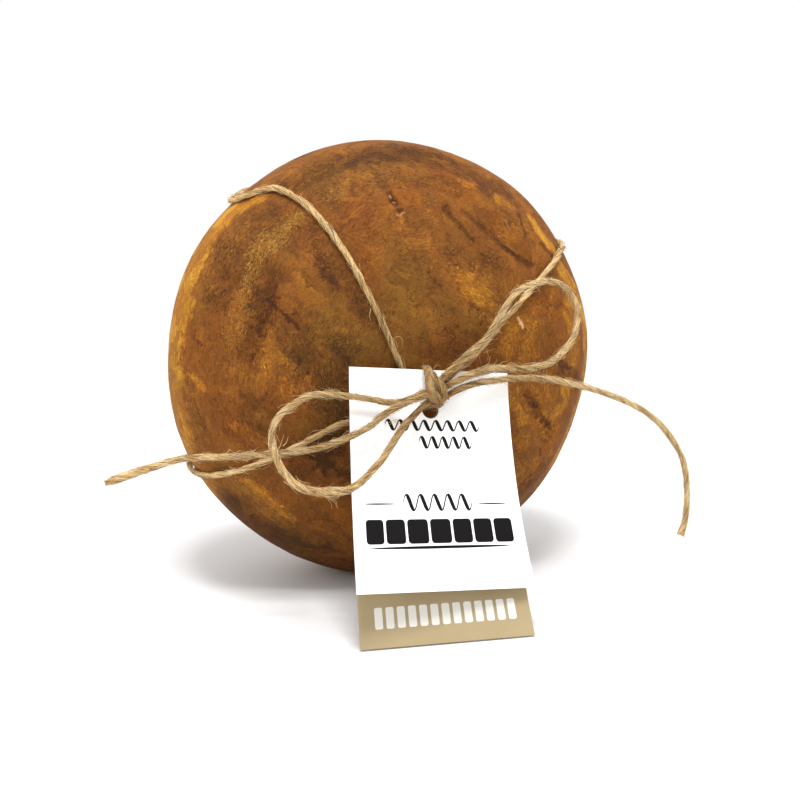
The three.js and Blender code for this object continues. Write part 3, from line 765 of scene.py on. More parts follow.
# Where the rind's colour changes on the front: how wide a mark is, how strong, and the places that
# it runs through, as x and z.
RIND_MARKS = {
    "golden": (
        # Painted light: the first six golden marks paint the lit band along the wheel's left edge.
        (8, 1.1, (-72, 69), (-83.5, 54), (-92, 38), (-97.5, 18)),
        (9.5, 1.4, (-78, 63), (-88, 48), (-95, 31), (-99.5, 10)),
        (16.5, 1.5, (-99.5, 10), (-99.9, -6), (-98, -20)),
        (12.5, 1.1, (-98, -20), (-95, -31)),
        (10, 0.7, (-95, -31), (-88, -46)),
        (3, 0.8, (-93, 0), (-91, -2)),
        (4.5, 0.5, (19, 41), (21, 38), (24, 33), (28, 29)),
        (5, 0.45, (28, 32), (34, 26)),
        (8, 0.55, (39, 8), (47, 18), (53, 7)),
        # Painted light: this mark and the one two lines down paint the lit band down the wheel's right edge.
        (5, 1.0, (77, 41), (84, 34), (89, 26), (92, 15), (93, 3)),
        (6, 0.55, (78, 28), (81, 9), (78, -5)),
        (4.5, 0.9, (93, 3), (92, -13), (88, -26), (83, -39), (76, -52)),
        (4, 0.8, (74, -13), (75, -20), (69, -22)),
        (6, 0.5, (45, -14), (51, -33), (59, -49)),
        (3, 1.0, (58.5, 65.7), (64, 59.5), (69, 53.6), (73.6, 48.5)),
        (3, 0.7, (43, 74), (46, 72), (50, 69)),
        (3, 0.7, (23, 82), (27, 81), (31, 80)),
        (8, 0.15, (1, 61), (6, 55)),
        (4, 0.38, (5, 71), (10, 64)),
        (7, 0.4, (43, 56), (53, 60)),
        (3.5, 0.3, (-34, 78), (-25, 81), (-13, 84)),
        (3.5, 0.2, (-9, 82), (4, 80), (15, 77)),
        (4, 0.8, (-69, 70), (-61, 75)),
        (5, 0.45, (-65, 21), (-64, 12)),
        (4, 0.4, (-67, 10), (-68, -3)),
        (9, 0.35, (-57, 3), (-55, -6)),
        (5, 0.35, (-37, 24), (-33, 21)),
        (2.6, 0.68, (-72, -45), (-67, -49), (-63, -53), (-59, -58), (-54, -62)),
        (3, 0.28, (-74, -50), (-68, -54), (-64, -60)),
        (3.5, 0.5, (-78, -20), (-73, -22), (-70, -26)),
        (4, 0.45, (-21, 53), (-18, 50)),
        (5, 0.4, (61, 29), (68, 33)),
        (15, 0.42, (50, 10), (57, -18), (60, -46)),
    ),
    "scar": (
        (6, 1.0, (-68, 48), (-63, 54), (-58, 60), (-48, 67)),
        (5, 0.9, (-74, 30), (-71, 38), (-68, 48)),
        (7, 0.8, (-79, 16), (-75, 26), (-74, 30)),
        (7, 0.6, (-79, -5), (-76, 2), (-78, 9)),
        (6, 0.8, (-48, 67), (-42, 71), (-32, 75)),
        (6, 0.7, (-10, 85), (-4, 82)),
        (5, 0.7, (7, 72), (10, 73)),
        (6, 0.6, (27, 76), (42, 71), (52, 67)),
        (9, 0.6, (-87, 32), (-82, 48), (-71, 61)),
        (8, 0.7, (-94, -14), (-91, -27), (-88, -42)),
        (7, 0.8, (-76, -44), (-66, -52), (-56, -61)),
        (9, 0.5, (-67, 17), (-67, 1)),
        (12, 0.45, (-40, 21), (-27, 24), (-15, 20)),
        (9, 0.5, (-44, 4), (-38, -8)),
        (14, 0.35, (12, 27), (-1, 23), (-10, 32)),
        (7, 0.5, (8, 47), (22, 47), (37, 44)),
        (8, 0.5, (34, 37), (40, 30)),
        (10, 0.35, (-72, -25), (-67, -38)),
        (12, 0.3, (64, 29), (67, 15)),
    ),
    "umber": (
        # Painted shade: this mark darkens the top of the front along the rim.
        (8, 0.72, (-50, 80), (-28, 89), (-2, 94), (22, 91), (44, 80)),
        (4, 0.5, (-1, 91), (16, 88), (30, 83)),
        (7, 0.4, (-4, 64), (2, 55)),
        (6, 0.5, (-6, 84), (8, 82), (20, 78)),
        (10, 0.5, (-80, 47), (-72, 54), (-53, 59), (-46, 59)),
        (9, 0.6, (-83, 33), (-75, 45), (-65, 48)),
        (6.5, 0.75, (-60, 44), (-66, 31), (-71, 15)),
        (5, 0.3, (-72, 9), (-72, -3), (-66, -13)),
        (10, 0.35, (-79, 14), (-78, -5), (-75, -22)),
        (4.5, 0.7, (-42, 50), (-34, 41), (-30, 34), (-24, 27)),
        (1.8, 0.55, (-57, 35), (-52, 31), (-46, 26)),
        (8, 0.75, (-54, 22), (-50, 12), (-45, -8)),
        (8, 0.7, (-36, 12), (-37, -4), (-37, -17)),
        (7, 0.9, (-37, -26), (-42, -30), (-45, -35)),
        (6, 0.75, (-52, -38), (-43, -41), (-35, -39)),
        (2.5, 0.6, (-47, -35), (-41, -42)),
        (2.5, 0.6, (-38, -34), (-45, -44)),
        (3.5, 0.3, (27, 64), (36, 56), (46, 49)),
        (2.5, 0.5, (14, 70), (17, 65)),
        (6.5, 0.48, (17, 49), (27, 47), (37, 42)),
        (4.5, 0.45, (-11, 66), (-8, 57), (-1, 47), (4, 38)),
        (7, 0.36, (-1, 47), (8, 35), (20, 23)),
        (9, 0.65, (3, 11), (12, 13), (21, 18)),
        (5, 0.5, (36, 33), (42, 28), (49, 30)),
        (3.2, 0.5, (52, -14), (60, -25), (67, -32)),
        (3.2, 0.7, (69, 3), (76, -5), (83, -10)),
        (5, 0.5, (57, -2), (67, -7)),
        # Painted shade: these two darken the lower front towards the floor.
        (13, 0.95, (-72, -64), (-60, -74), (-40, -85), (-25, -90)),
        (8, 0.4, (-66, -62), (-50, -70), (-31, -75)),
        (6, 0.6, (67, -48), (59, -57), (52, -63)),
        (2.6, 0.6, (45, 22), (49, 16)),
        (4, 0.5, (-85, 29), (-81, 28)),
        (4, 0.5, (-63, 25), (-61, 18)),
        (12, 0.46, (-62, 62), (-50, 72), (-35, 80), (-15, 84)),
        (9, 0.4, (-34, 66), (-14, 63)),
    ),
    "rust": (
        (13, 0.45, (-85, 20), (-84, -8), (-77, -30)),
        (9, 0.45, (19, 82), (33, 70), (40, 67)),
        (10, 0.6, (61, 29), (67, 21), (63, 9)),
        (8, 0.5, (-64, -8), (-58, -21), (-60, -34)),
        (7, 0.4, (-10, 79), (2, 73)),
        (9, 0.4, (-25, 67), (-21, 57), (-24, 48)),
        (7, 0.6, (-72, 13), (-73, 21), (-68, 33)),
        (6, 0.5, (63, -50), (71, -36)),
        (8, 0.5, (-66, -53), (-51, -62), (-34, -62)),
    ),
    "olive": (
        (12, 0.7, (-40, 19), (-28, 14), (-13, 11)),
        (12, 0.6, (-10, 32), (1, 24), (12, 24)),
        (9, 0.6, (-48, 13), (-44, 0), (-40, -13)),
        (9, 0.4, (-4, 48), (3, 37)),
        (9, 0.3, (-46, 82), (-5, 93), (28, 88)),
        (12, 0.3, (-70, -60), (-53, -73)),
    ),
}
# The way that the laps of the skin are drawn out on the front, down to the right.
LAP_WAY = (0.65, 0, -0.76)
# Thin dark creases on the front, darkened with painted shade in their hollows, the last two in the pits:
# half the width, the strength, and the two ends, as x and z.
CREASE_LINES = (
    (1.7, 1, (22.5, 68), (34.6, 58.4)),
    (1.5, 1.1, (34.6, 58.4), (40, 53.4)),
    (1, 1.5, (40, 53.4), (47.6, 47.9)),
    (1.5, 1, (47.6, 47.9), (54.5, 44.2)),
    (1.6, 1.1, (14, 69.6), (16.3, 65.8)),
    (1, 0.9, (16.3, 65.8), (25.7, 55.7)),
    (1, 1, (52.3, 70), (51.9, 65.4)),
    (0.8, 1, (51.9, 65.8), (53.2, 57.2)),
    (1.1, 1.2, (61.7, 53.5), (68.5, 47.5)),
    (1, 0.9, (21.6, 29.7), (35.1, 22.7)),
    (1.8, 0.8, (51, -11.5), (59.2, -22.3)),
    (1.5, 1, (58.6, -21), (64, -27.6)),
    (1.2, 0.45, (64, -27.6), (68.7, -32.4)),
    (0.7, 1.1, (60.9, -39.3), (61.6, -42.4)),
    (0.9, 0.9, (-63.8, 33), (-52, 20.8)),
    (1.5, 1.2, (-47.5, -32), (-38.6, -36.3)),
    (1.1, 1, (-44.5, -29.5), (-41.2, -40.5)),
    (1, 0.9, (-46, -38.5), (-39.4, -30.7)),
    (1.5, 1.6, (-10.2, 75), (-8.2, 71.2)),
    (1.1, 0.9, (-8.4, 68.6), (-6.2, 68.4)),
)
# Pale bits of dried paste in the pits and the nick, in the same way.
CRYSTALS = (
    (0.6, 0.4, (-10.1, 74.3), (-9.7, 73.9)),
    (0.4, 0.3, (-8.6, 72), (-8.4, 71.8)),
    (0.4, 0.25, (-8.6, 67), (-6.8, 66.2)),
    (0.4, 0.25, (-6.8, 66.2), (-4.9, 68.2)),
    (0.55, 0.6, (45.4, 22.4), (47.1, 19.9)),
    (0.75, 0.75, (47.1, 19.9), (48.4, 17.7)),
    (0.3, 0.15, (5.6, 26.8), (6, 26.2)),
    (0.3, 0.15, (43.2, 64.3), (44.3, 61.7)),
)
# The marks scattered on the back: how many of a kind, how far out, and the seed of their places.
SCATTERED_MARKS = 26
SCATTER_REACH = 97
SCATTER_SEED = 5
# Two noises make the marks' edges wander: their size, and their reach in widths of the mark and at most.
WANDERS = ((13, 0.8, 5), (4, 0.35, 2))
WANDER_SEED = 5
# How steeply a mark fades past its width.
MARK_FADE = 0.7


def drawn_lines(add, place, lines, outer, inner, **settings):
    """How strongly any of the lines shows at a place: from none at outer widths to full at inner ones."""
    shown = None
    for wide, strong, (x1, z1), (x2, z2) in lines:
        start, end = Vector((x1, 0, z1)), Vector((x2, 0, z2))
        way = end - start
        step = way / way.length_squared
        share = add(VECTOR, "DOT_PRODUCT", place, step, give="Value")
        share = add(MATH, "SUBTRACT", share, start.dot(step), use_clamp=True)
        nearest = add(VECTOR, "MULTIPLY_ADD", share, way, start)
        away = add(VECTOR, "DISTANCE", place, nearest, give="Value")
        line = add(RANGE, away, wide * outer, wide * inner, 0, strong, **settings)
        shown = line if shown is None else add(MATH, "MAXIMUM", shown, line)
    return shown


def rind_material():
    """Oiled, smoked natural rind: waxy and thin, darker in patches, with fibrous mould scars; painted shade
    at its top, foot and creases, painted light along its left and right edges.
    """
    cheese = bpy.context.scene.cheese_settings
    material, add, shader = new_material("oiled_smoked_rind")
    place = add("ShaderNodeTexCoord", give="Object")
    centred = add(VECTOR, "ADD", place, (0, 0, -AXIS_HEIGHT * MM))
    spot = add(VECTOR, "SCALE", centred, 1000)
    marks = {
        name: add(ATTRIBUTE, give="Fac", attribute_name=name)
        for name in ("golden", "umber", "rust", "olive", "scar")
    }
    # Patterns below are in millimetres. Two slow drifts, of 14 mm and 3.5 mm, pull them out of true.
    pulls = []
    for size, reach in ((14, 24), (3.5, 6)):
        drift = add(NOISE, {"Vector": spot, "Scale": 1 / size, "Detail": 3}, give="Color")
        drift = add(VECTOR, "SUBTRACT", drift, (0.5, 0.5, 0.5))
        pulls.append(add(VECTOR, "SCALE", drift, reach))
    pulled = add(VECTOR, "ADD", spot, pulls[0])
    torn = add(VECTOR, "ADD", pulled, pulls[1])
    # Clouds 36 mm across, hues of 18 mm, mottling of 7 mm, and a 1.2 mm grain.
    cloud = add(NOISE, {"Vector": pulled, "Scale": 1 / 36, "Detail": 3})
    hue = add(NOISE, {"Vector": torn, "Scale": 1 / 18, "Detail": 3})
    mottle = add(NOISE, {"Vector": pulled, "Scale": 1 / 7, "Detail": 8, "Roughness": 0.65})
    grain = add(NOISE, {"Vector": spot, "Scale": 1 / 1.2, "Detail": 3, "Roughness": 0.7})
    # The skin lies in drawn-out laps, 13 mm and 6 mm wide, with crisp edges and dark seams.
    drawn = add(VECTOR, "DOT_PRODUCT", torn, LAP_WAY, give="Value")
    shrink = [-0.5 * value for value in LAP_WAY]
    drawn = add(VECTOR, "MULTIPLY_ADD", drawn, shrink, torn)
    laps, seams = [], []
    for size in (13, 6):
        skin = add(NOISE, {"Vector": drawn, "Scale": 1 / size, "Detail": 4})
        laps.append(add(RANGE, skin, 0.485, 0.525, **SMOOTH))
        seam = add(MATH, "SUBTRACT", skin, 0.505)
        seam = add(MATH, "ABSOLUTE", seam)
        seam = add(RANGE, seam, 0.02, 0.002)
        shown = add(RANGE, mottle, 0.5, 0.6)
        seams.append(add(MATH, "MULTIPLY", seam, shown))
    # Fibrous scars lie along the wheel's round, 4 mm long and 0.8 mm wide, and finer strokes on them.
    parts = add(SEPARATE, spot, give=None).outputs
    level = add(VECTOR, "MULTIPLY", spot, (1, 0, 1))
    radius = add(VECTOR, "LENGTH", level, give="Value")
    around = add(VECTOR, "NORMALIZE", level)
    across = add(MATH, "ADD", radius, parts["Y"])
    lengthwise = []
    for turns, rows, bend in ((22, 1.2, 0.6), (28, 3, 1.2)):
        way = add(VECTOR, "SCALE", around, turns)
        row = add(MATH, "MULTIPLY", across, rows)
        row = add(COMBINE, 0, row)
        wavy = add(VECTOR, "SCALE", pulls[0], bend)
        way = add(VECTOR, "ADD", way, row)
        way = add(VECTOR, "ADD", way, wavy)
        lengthwise.append(add(
            NOISE, {"Vector": way, "Scale": 1, "Detail": 5, "Roughness": 0.7, "Distortion": 0.5}
        ))
    fibres, strokes = lengthwise
    # Thin creases, which darken the colour below as painted shade in their hollows and in the pits.
    bent = add(VECTOR, "SCALE", pulls[1], 0.45)
    bent = add(VECTOR, "ADD", level, bent)
    bent = add(VECTOR, "MULTIPLY", bent, (1, 0, 1))
    creases = drawn_lines(add, bent, CREASE_LINES, 1.5, 0.2, **SMOOTH)
    front = add(MATH, "LESS_THAN", parts["Y"], 0)
    creases = add(MATH, "MULTIPLY", creases, front)
    # One tone from dark to golden, so that every edge between two colours is ragged.
    ragged = add(MATH, "MULTIPLY_ADD", mottle, 1.0, -0.5)
    frayed = add(MATH, "MULTIPLY_ADD", fibres, 1.2, -0.6)
    ragged = add(MATH, "ADD", ragged, frayed)
    lighter = add(MATH, "ADD", marks["golden"], ragged)
    lighter = add(RANGE, lighter, 0.18, 0.8, **SMOOTH)
    darker = add(MATH, "SUBTRACT", marks["umber"], ragged)
    darker = add(RANGE, darker, 0.15, 0.9, **SMOOTH)
    tone = add(MATH, "MULTIPLY_ADD", lighter, 0.74, 0.02)
    # The umber's top and foot marks and the creases darken the tone here as painted shade.
    for pattern, strength in ((darker, -0.7), (creases, -0.55), (seams[0], -0.6), (seams[1], -0.5)):
        tone = add(MATH, "MULTIPLY_ADD", pattern, strength, tone)
    streaky = add(MATH, "MULTIPLY_ADD", marks["scar"], 0.7, 0.5)
    for pattern, strength in (
        (cloud, 0.5), (laps[0], 0.22), (laps[1], 0.16), (mottle, 0.8), (grain, 0.95), (fibres, 1.0),
        (strokes, streaky),
    ):
        even = add(MATH, "SUBTRACT", pattern, 0.5)
        tone = add(MATH, "MULTIPLY_ADD", even, strength, tone)
    tone = add(RANGE, tone, -1.07, 1.25)
    ramp = add("ShaderNodeValToRGB", {0: tone}, give=None)
    stops = ramp.color_ramp.elements
    stops[0].position, stops[0].color = 0.04, [*cheese.soot, 1]
    stops[1].position, stops[1].color = 0.96, [*cheese.straw, 1]
    for position, name in ((0.26, "umber"), (0.47, "brown"), (0.65, "amber"), (0.82, "golden")):
        stops.new(position).color = [*getattr(cheese, name), 1]
    colour = ramp.outputs["Color"]
    # The smoke and the oil tint the rind like thin glazes.
    for name, way in (("rust", 1.5), ("olive", -1.5)):
        share = add(MATH, "MULTIPLY_ADD", hue, way, -0.5 * way)
        share = add(MATH, "ADD", marks[name], share)
        share = add(RANGE, share, 0, 0.8)
        tint = [*getattr(cheese, name), 1]
        colour = add(MIX, share, colour, tint, **COLOURS, blend_type="MULTIPLY")
    scarred = add(MATH, "MULTIPLY_ADD", marks["scar"], 0.22, strokes)
    scarred = add(MATH, "MULTIPLY_ADD", grain, 0.3, scarred)
    scarred = add(RANGE, scarred, 0.83, 0.95, 0, 0.65, **SMOOTH)
    colour = add(MIX, scarred, colour, [*cheese.tan, 1], **COLOURS)
    # Dark specks of 0.7 mm in loose groups, where spots of mould were brushed off.
    fleck = add(NOISE, {"Vector": spot, "Scale": 1.4, "Detail": 2, "Roughness": 0.6})
    fleck = add(MATH, "MULTIPLY_ADD", mottle, 0.35, fleck)
    speck = add(RANGE, fleck, 0.55, 0.47, 0, 0.5)
    colour = add(MIX, speck, colour, [*cheese.soot, 1], **COLOURS)
    # Dried paste shows pale in the pits and the nick.
    pale = drawn_lines(add, bent, CRYSTALS, 1.4, 0.4)
    pale = add(MATH, "MULTIPLY", pale, front)
    colour = add(MIX, pale, colour, [*cheese.paste, 1], **COLOURS)
    height = add(MATH, "MULTIPLY_ADD", scarred, 0.25, mottle)
    for pattern, strength in (
        (grain, 0.3), (creases, -0.6), (laps[0], 0.1), (seams[0], -0.3), (seams[1], -0.2),
    ):
        height = add(MATH, "MULTIPLY_ADD", pattern, strength, height)
    bump = add("ShaderNodeBump", {"Strength": 0.6, "Distance": 0.0012, "Height": height})
    rough = add(RANGE, mottle, 0.3, 0.7, 0.55, 0.75)
    plug(shader, {"Base Color": colour, "Normal": bump, "Roughness": rough})
    plug(shader, {"IOR": 1.4, "Specular IOR Level": 0.08})
    return material


def rind_place(x, z, side):
    """The place on the wheel over x and z, on the front (-1) or the back (1)."""
    left = max(1 - (math.hypot(x, z) / WHEEL_RADIUS) ** RIM_FULLNESS, 0)
    return x, side * WHEEL_HALF_THICKNESS * left ** (1 / FACE_FULLNESS), z


def mark_rind(mesh):
    """Stores how strongly each kind of mark shows at each point of the rind."""
    count = len(mesh.vertices)
    flat = numpy.empty(count * 3)
    mesh.vertices.foreach_get("co", flat)
    places = flat.reshape(count, 3) / MM - (0, 0, AXIS_HEIGHT)
    # Without a seed this noise would take one from the clock.
    noise.seed_set(WANDER_SEED)
    drifts = [
        (numpy.array([noise.noise_vector(Vector(p) / size) for p in places]), reach, most)
        for size, reach, most in WANDERS
    ]
    chance = random.Random(SCATTER_SEED)
    for name, marks in RIND_MARKS.items():
        lines = [(mark[0], mark[1], [rind_place(x, z, -1) for x, z in mark[2:]]) for mark in marks]
        # The back has marks of the same kinds, where the photograph doesn't show it.
        for _ in range(SCATTERED_MARKS):
            turn, far = chance.uniform(0, 2 * math.pi), SCATTER_REACH * math.sqrt(chance.random())
            way, step = turn + math.pi / 2 + chance.uniform(-0.7, 0.7), chance.uniform(6, 22)
            x, z = far * math.cos(turn), far * math.sin(turn)
            ends = (x, z), (x + step * math.cos(way), z + step * math.sin(way))
            wide, strong = chance.uniform(3, 10), chance.uniform(0.35, 0.8)
            lines.append((wide, strong, [rind_place(*p, 1) for p in ends]))
        shown = numpy.zeros(count)
        for wide, strong, line in lines:
            moved = places
            for drift, reach, most in drifts:
                moved = moved + drift * min(reach * wide, most)
            for start, end in zip(numpy.array(line), numpy.array(line[1:])):
                way = end - start
                share = numpy.clip((moved - start) @ way / (way @ way), 0, 1)
                away = numpy.linalg.norm(moved - start - share[:, None] * way, axis=1)
                shown = numpy.maximum(shown, strong * numpy.exp(-MARK_FADE * (away / wide) ** 3))
        mesh.attributes.new(name, "FLOAT", "POINT").data.foreach_set("value", shown)


# The tag.


def leaf_place(leaf, across, down, lift=0):
    """A place on a leaf: across and down are shares of its width and height, lift is towards the viewer."""
    slope, swing = math.radians(TAG_TOP_SLOPE), math.radians(TAG_SWING)
    hang = Vector((-math.sin(swing), -math.tan(slope), -math.cos(swing))).normalized()
    sides = []
    for top, foot in ((leaf[0], leaf[2]), (leaf[1], leaf[3])):
        top, foot = Vector(top), Vector(foot)
        bend = top + hang * (foot - top).length / 2
        sides.append((
            top * (1 - down) ** 2 + bend * 2 * down * (1 - down) + foot * down**2,
            ((bend - top) * (1 - down) + (foot - bend) * down).normalized(),
        ))
    (left, left_way), (right, right_way) = sides
    outward = (left_way + right_way).cross(right - left).normalized()
    return left.lerp(right, across) + outward * lift


def card_leaf(name, leaf, material):
    """One leaf as a thin closed sheet with a round punched hole."""
    width = (Vector(leaf[1]) - Vector(leaf[0])).length
    height = (Vector(leaf[2]) - Vector(leaf[0])).length
    # The hole's middle, found on this leaf in 20 steps towards it.
    across, down = 0.5, 0.2
    for _ in range(20):
        off = Vector(HOLE_PLACE) - leaf_place(leaf, across, down)
        across += off.x / width
        down -= off.z / height
    middle = Vector((across * width, down * height))
    verts = [
        Vector((width * i / LEAF_COLUMNS, height * j / LEAF_ROWS))
        for j in range(LEAF_ROWS + 1)
        for i in range(LEAF_COLUMNS + 1)
    ]
    verts = [v for v in verts if (v - middle).length > HOLE_RADIUS + HOLE_CLEARANCE]
    rim = len(verts)
    for ring in (HOLE_RADIUS, HOLE_RADIUS + HOLE_RING):
        for i in range(HOLE_SIDES):
            angle = 2 * math.pi * i / HOLE_SIDES
            verts.append(middle + Vector((math.cos(angle), math.sin(angle))) * ring)
    edges = [(rim + i, rim + (i + 1) % HOLE_SIDES) for i in range(HOLE_SIDES)]
    points, _, faces, *_ = delaunay_2d_cdt(verts, edges, [], 0, 1e-5)
    shape = bmesh.new()
    corners = [shape.verts.new(placed(leaf_place(leaf, p.x / width, p.y / height))) for p in points]
    for face in faces:
        centre = sum((points[i] for i in face), Vector((0, 0))) / len(face)
        if (centre - middle).length > HOLE_RADIUS * HOLE_CUT:
            shape.faces.new([corners[i] for i in face])
    bmesh.ops.recalc_face_normals(shape, faces=shape.faces)
    front = leaf_place(leaf, 0.5, 0.5, 1) - leaf_place(leaf, 0.5, 0.5, 0)
    if sum(face.normal.dot(front) for face in shape.faces) < 0:
        bmesh.ops.reverse_faces(shape, faces=shape.faces)
    piece = made(name, shape, material)
    wall = piece.modifiers.new("thickness", "SOLIDIFY")
    wall.thickness = CARD_THICKNESS * MM
    wall.offset = 0
    return piece


def card_material(name, tint, fleck):
    """Smooth uncoated card, about 300 g: matt, with a faint tooth of pressed fibres."""
    material, add, shader = new_material(name)
    place = add("ShaderNodeTexCoord", give="Object")
    tooth = add(NOISE, {"Vector": place, "Scale": 1800, "Detail": 3})
    cloud = add(NOISE, {"Vector": place, "Scale": 60, "Detail": 2})
    share = add(RANGE, cloud, 0.3, 0.7)
    colour = add(MIX, share, [*tint, 1], [*fleck, 1], **COLOURS)
    bump = add("ShaderNodeBump", {"Strength": 0.12, "Distance": 0.0001, "Height": tooth})
    plug(shader, {"Base Color": colour, "Normal": bump, "Roughness": 0.6, "Specular IOR Level": 0.3})
    return material


def ink_material(name, tint, faded):
    """Offset ink on card: a thin, slightly satin film, a little uneven where the card drinks it."""
    material, add, shader = new_material(name)
    place = add("ShaderNodeTexCoord", give="Object")
    film = add(NOISE, {"Vector": place, "Scale": 1400, "Detail": 2})
    rough = add(RANGE, film, 0.3, 0.7, 0.45, 0.65)
    share = add(RANGE, film, 0.4, 0.75)
    colour = add(MIX, share, [*tint, 1], [*faded, 1], **COLOURS)
    plug(shader, {"Base Color": colour, "Roughness": rough, "Specular IOR Level": 0.1})
    return material


def rounded_bar(left, right, top, foot, corner):
    """Outline of an upright bar with rounded corners, in shares of the leaf."""
    tall = corner * CORNER_FLATNESS
    outline = []
    for x, y, start in (
        (right - corner, foot - tall, 0),
        (left + corner, foot - tall, 90),
        (left + corner, top + tall, 180),
        (right - corner, top + tall, 270),
    ):
        for step in range(4):
            angle = math.radians(start + 30 * step)
            outline.append((x + corner * math.cos(angle), y + tall * math.sin(angle)))
    return outline


def lens(left, right, level, thick):
    """Outline of a rule that tapers to both ends."""
    steps = 16
    shares = [i / steps for i in range(steps + 1)]
    top = [(left + (right - left) * s, level - thick * math.sin(math.pi * s) ** 0.5 / 2) for s in shares]
    foot = [(x, 2 * level - y) for x, y in top[1:-1]]
    return top + foot[::-1]


def brushed_wave(left, right, level, tall, waves):
    """Outline of a plain wave drawn with a broad pen: one edge forwards, and the other back."""
    steps = waves * WAVE_STEPS
    line = []
    for step in range(steps + 1):
        angle = 2 * math.pi * waves * step / steps
        line.append((left + (right - left) * step / steps, level - tall * math.sin(angle) / 2))
    upper, lower = [], []
    for i, (x, y) in enumerate(line):
        before, after = line[max(i - 1, 0)], line[min(i + 1, steps)]
        way = Vector((after[0] - before[0], after[1] - before[1])).normalized()
        press = min(i, steps - i, PEN_TIP_STEPS) / PEN_TIP_STEPS
        half = (PEN_HAIRLINE + PEN_GAIN * max(way.y, 0)) * (PEN_TIP + (1 - PEN_TIP) * press)
        upper.append((x + way.y * half, y - way.x * half))
        lower.append((x - way.y * half, y + way.x * half))
    return upper + lower[::-1]


def printed(name, leaf, outlines, material):
    """Flat printed shapes as a thin film that follows the leaf."""
    shape = bmesh.new()
    low, high = CARD_THICKNESS / 2 + PRINT_FOOT, CARD_THICKNESS / 2 + PRINT_TOP
    for outline in outlines:
        flat = [Vector(point) for point in outline]
        edges = [(i, (i + 1) % len(flat)) for i in range(len(flat))]
        points, _, faces, *_ = delaunay_2d_cdt(flat, edges, [], 1, 1e-7)
        rows = [[shape.verts.new(placed(leaf_place(leaf, *p, lift))) for p in points] for lift in (low, high)]
        for face in faces:
            shape.faces.new([rows[0][i] for i in face])
            shape.faces.new([rows[1][i] for i in face[::-1]])
        for i, j in edges:
            shape.faces.new((rows[0][j], rows[0][i], rows[1][i], rows[1][j]))
    bmesh.ops.recalc_face_normals(shape, faces=shape.faces)
    return made(name, shape, material)


# Settings, operators and panel.


def colour_setting(name, description, code):
    return FloatVectorProperty(name=name, description=description, subtype="COLOR", default=srgb(code))


class CheeseSettings(bpy.types.PropertyGroup):
    """Sizes and colours of the wheel."""

    squares: IntProperty(
        name="Squares", description="Squares along each side of the mesh", default=122, min=8
    )
    # Soot and umber also paint shade: umber along the top and the foot of the front, soot in the creases and
    # pits.
    soot: colour_setting("Soot", "Darkest creases and specks", "442a18")
    umber: colour_setting("Umber", "Handled and creased places", "643c1a")
    brown: colour_setting("Brown", "Darker ground of the rind", "7b4c21")
    amber: colour_setting("Amber", "Lighter ground of the rind", "8f5a22")
    # Golden and straw also paint the lit bands along the wheel's left and right edges: painted light.
    golden: colour_setting("Golden", "Worn, oily places", "ab7323")
    straw: colour_setting("Straw", "Thinnest rind at the edge", "c89438")
    tan: colour_setting("Tan", "Dry fibrous scars", "c29042")
    rust: colour_setting("Rust", "Reddish tint of the smoke", "fff1ea")
    olive: colour_setting("Olive", "Greenish tint of the oil", "ecfff4")
    paste: colour_setting("Paste", "Dried bits of pale paste", "e2bb92")


class TwineSettings(bpy.types.PropertyGroup):
    """Sizes and colours of the twine."""

    diameter: FloatProperty(
        name="Diameter", description="Thickness of the twine", default=0.003, unit="LENGTH"
    )
    turn_length: FloatProperty(
        name="Turn length", description="Length of one turn of the plies", default=0.019, unit="LENGTH"
    )
    fibres_per_mm: FloatProperty(
        name="Fibres", description="Loose fibres on each millimetre", default=7, min=0
    )
    # Dark and pale are partly painted shade between the bundles and painted highlight on them.
    dark: colour_setting("Dark", "Between the bundles", "835f30")
    middle: colour_setting("Middle", "Most of the jute", "dab374")
    pale: colour_setting("Pale", "Straw-pale fibres", "f2deb2")
    knot_tint: colour_setting("Handled", "Tint of the jute at the knot", "cabdab")


class TagSettings(bpy.types.PropertyGroup):
    """Colours of the tag."""

    white: colour_setting("White", "Front leaf", "fbfaf7")
    tan: colour_setting("Tan", "Back leaf", "a59370")
    ink: colour_setting("Ink", "Printed shapes on the front leaf", "0e0c0d")


class StageSettings(bpy.types.PropertyGroup):
    """Light and camera."""

    surroundings: FloatProperty(
        name="Surroundings", description="Strength of the white room", default=1, min=0
    )
    key: FloatProperty(name="Key light", description="Power from above", default=15, unit="POWER", min=0)
    azimuth: FloatProperty(
        name="Azimuth", description="Camera angle round the wheel", subtype="ANGLE",
        default=math.radians(-19.1),
    )
    elevation: FloatProperty(
        name="Elevation", description="Camera angle above the wheel", subtype="ANGLE",
        default=math.radians(8.7),
    )
    distance: FloatProperty(
        name="Distance", description="Camera distance from the wheel", default=0.5, unit="LENGTH"
    )


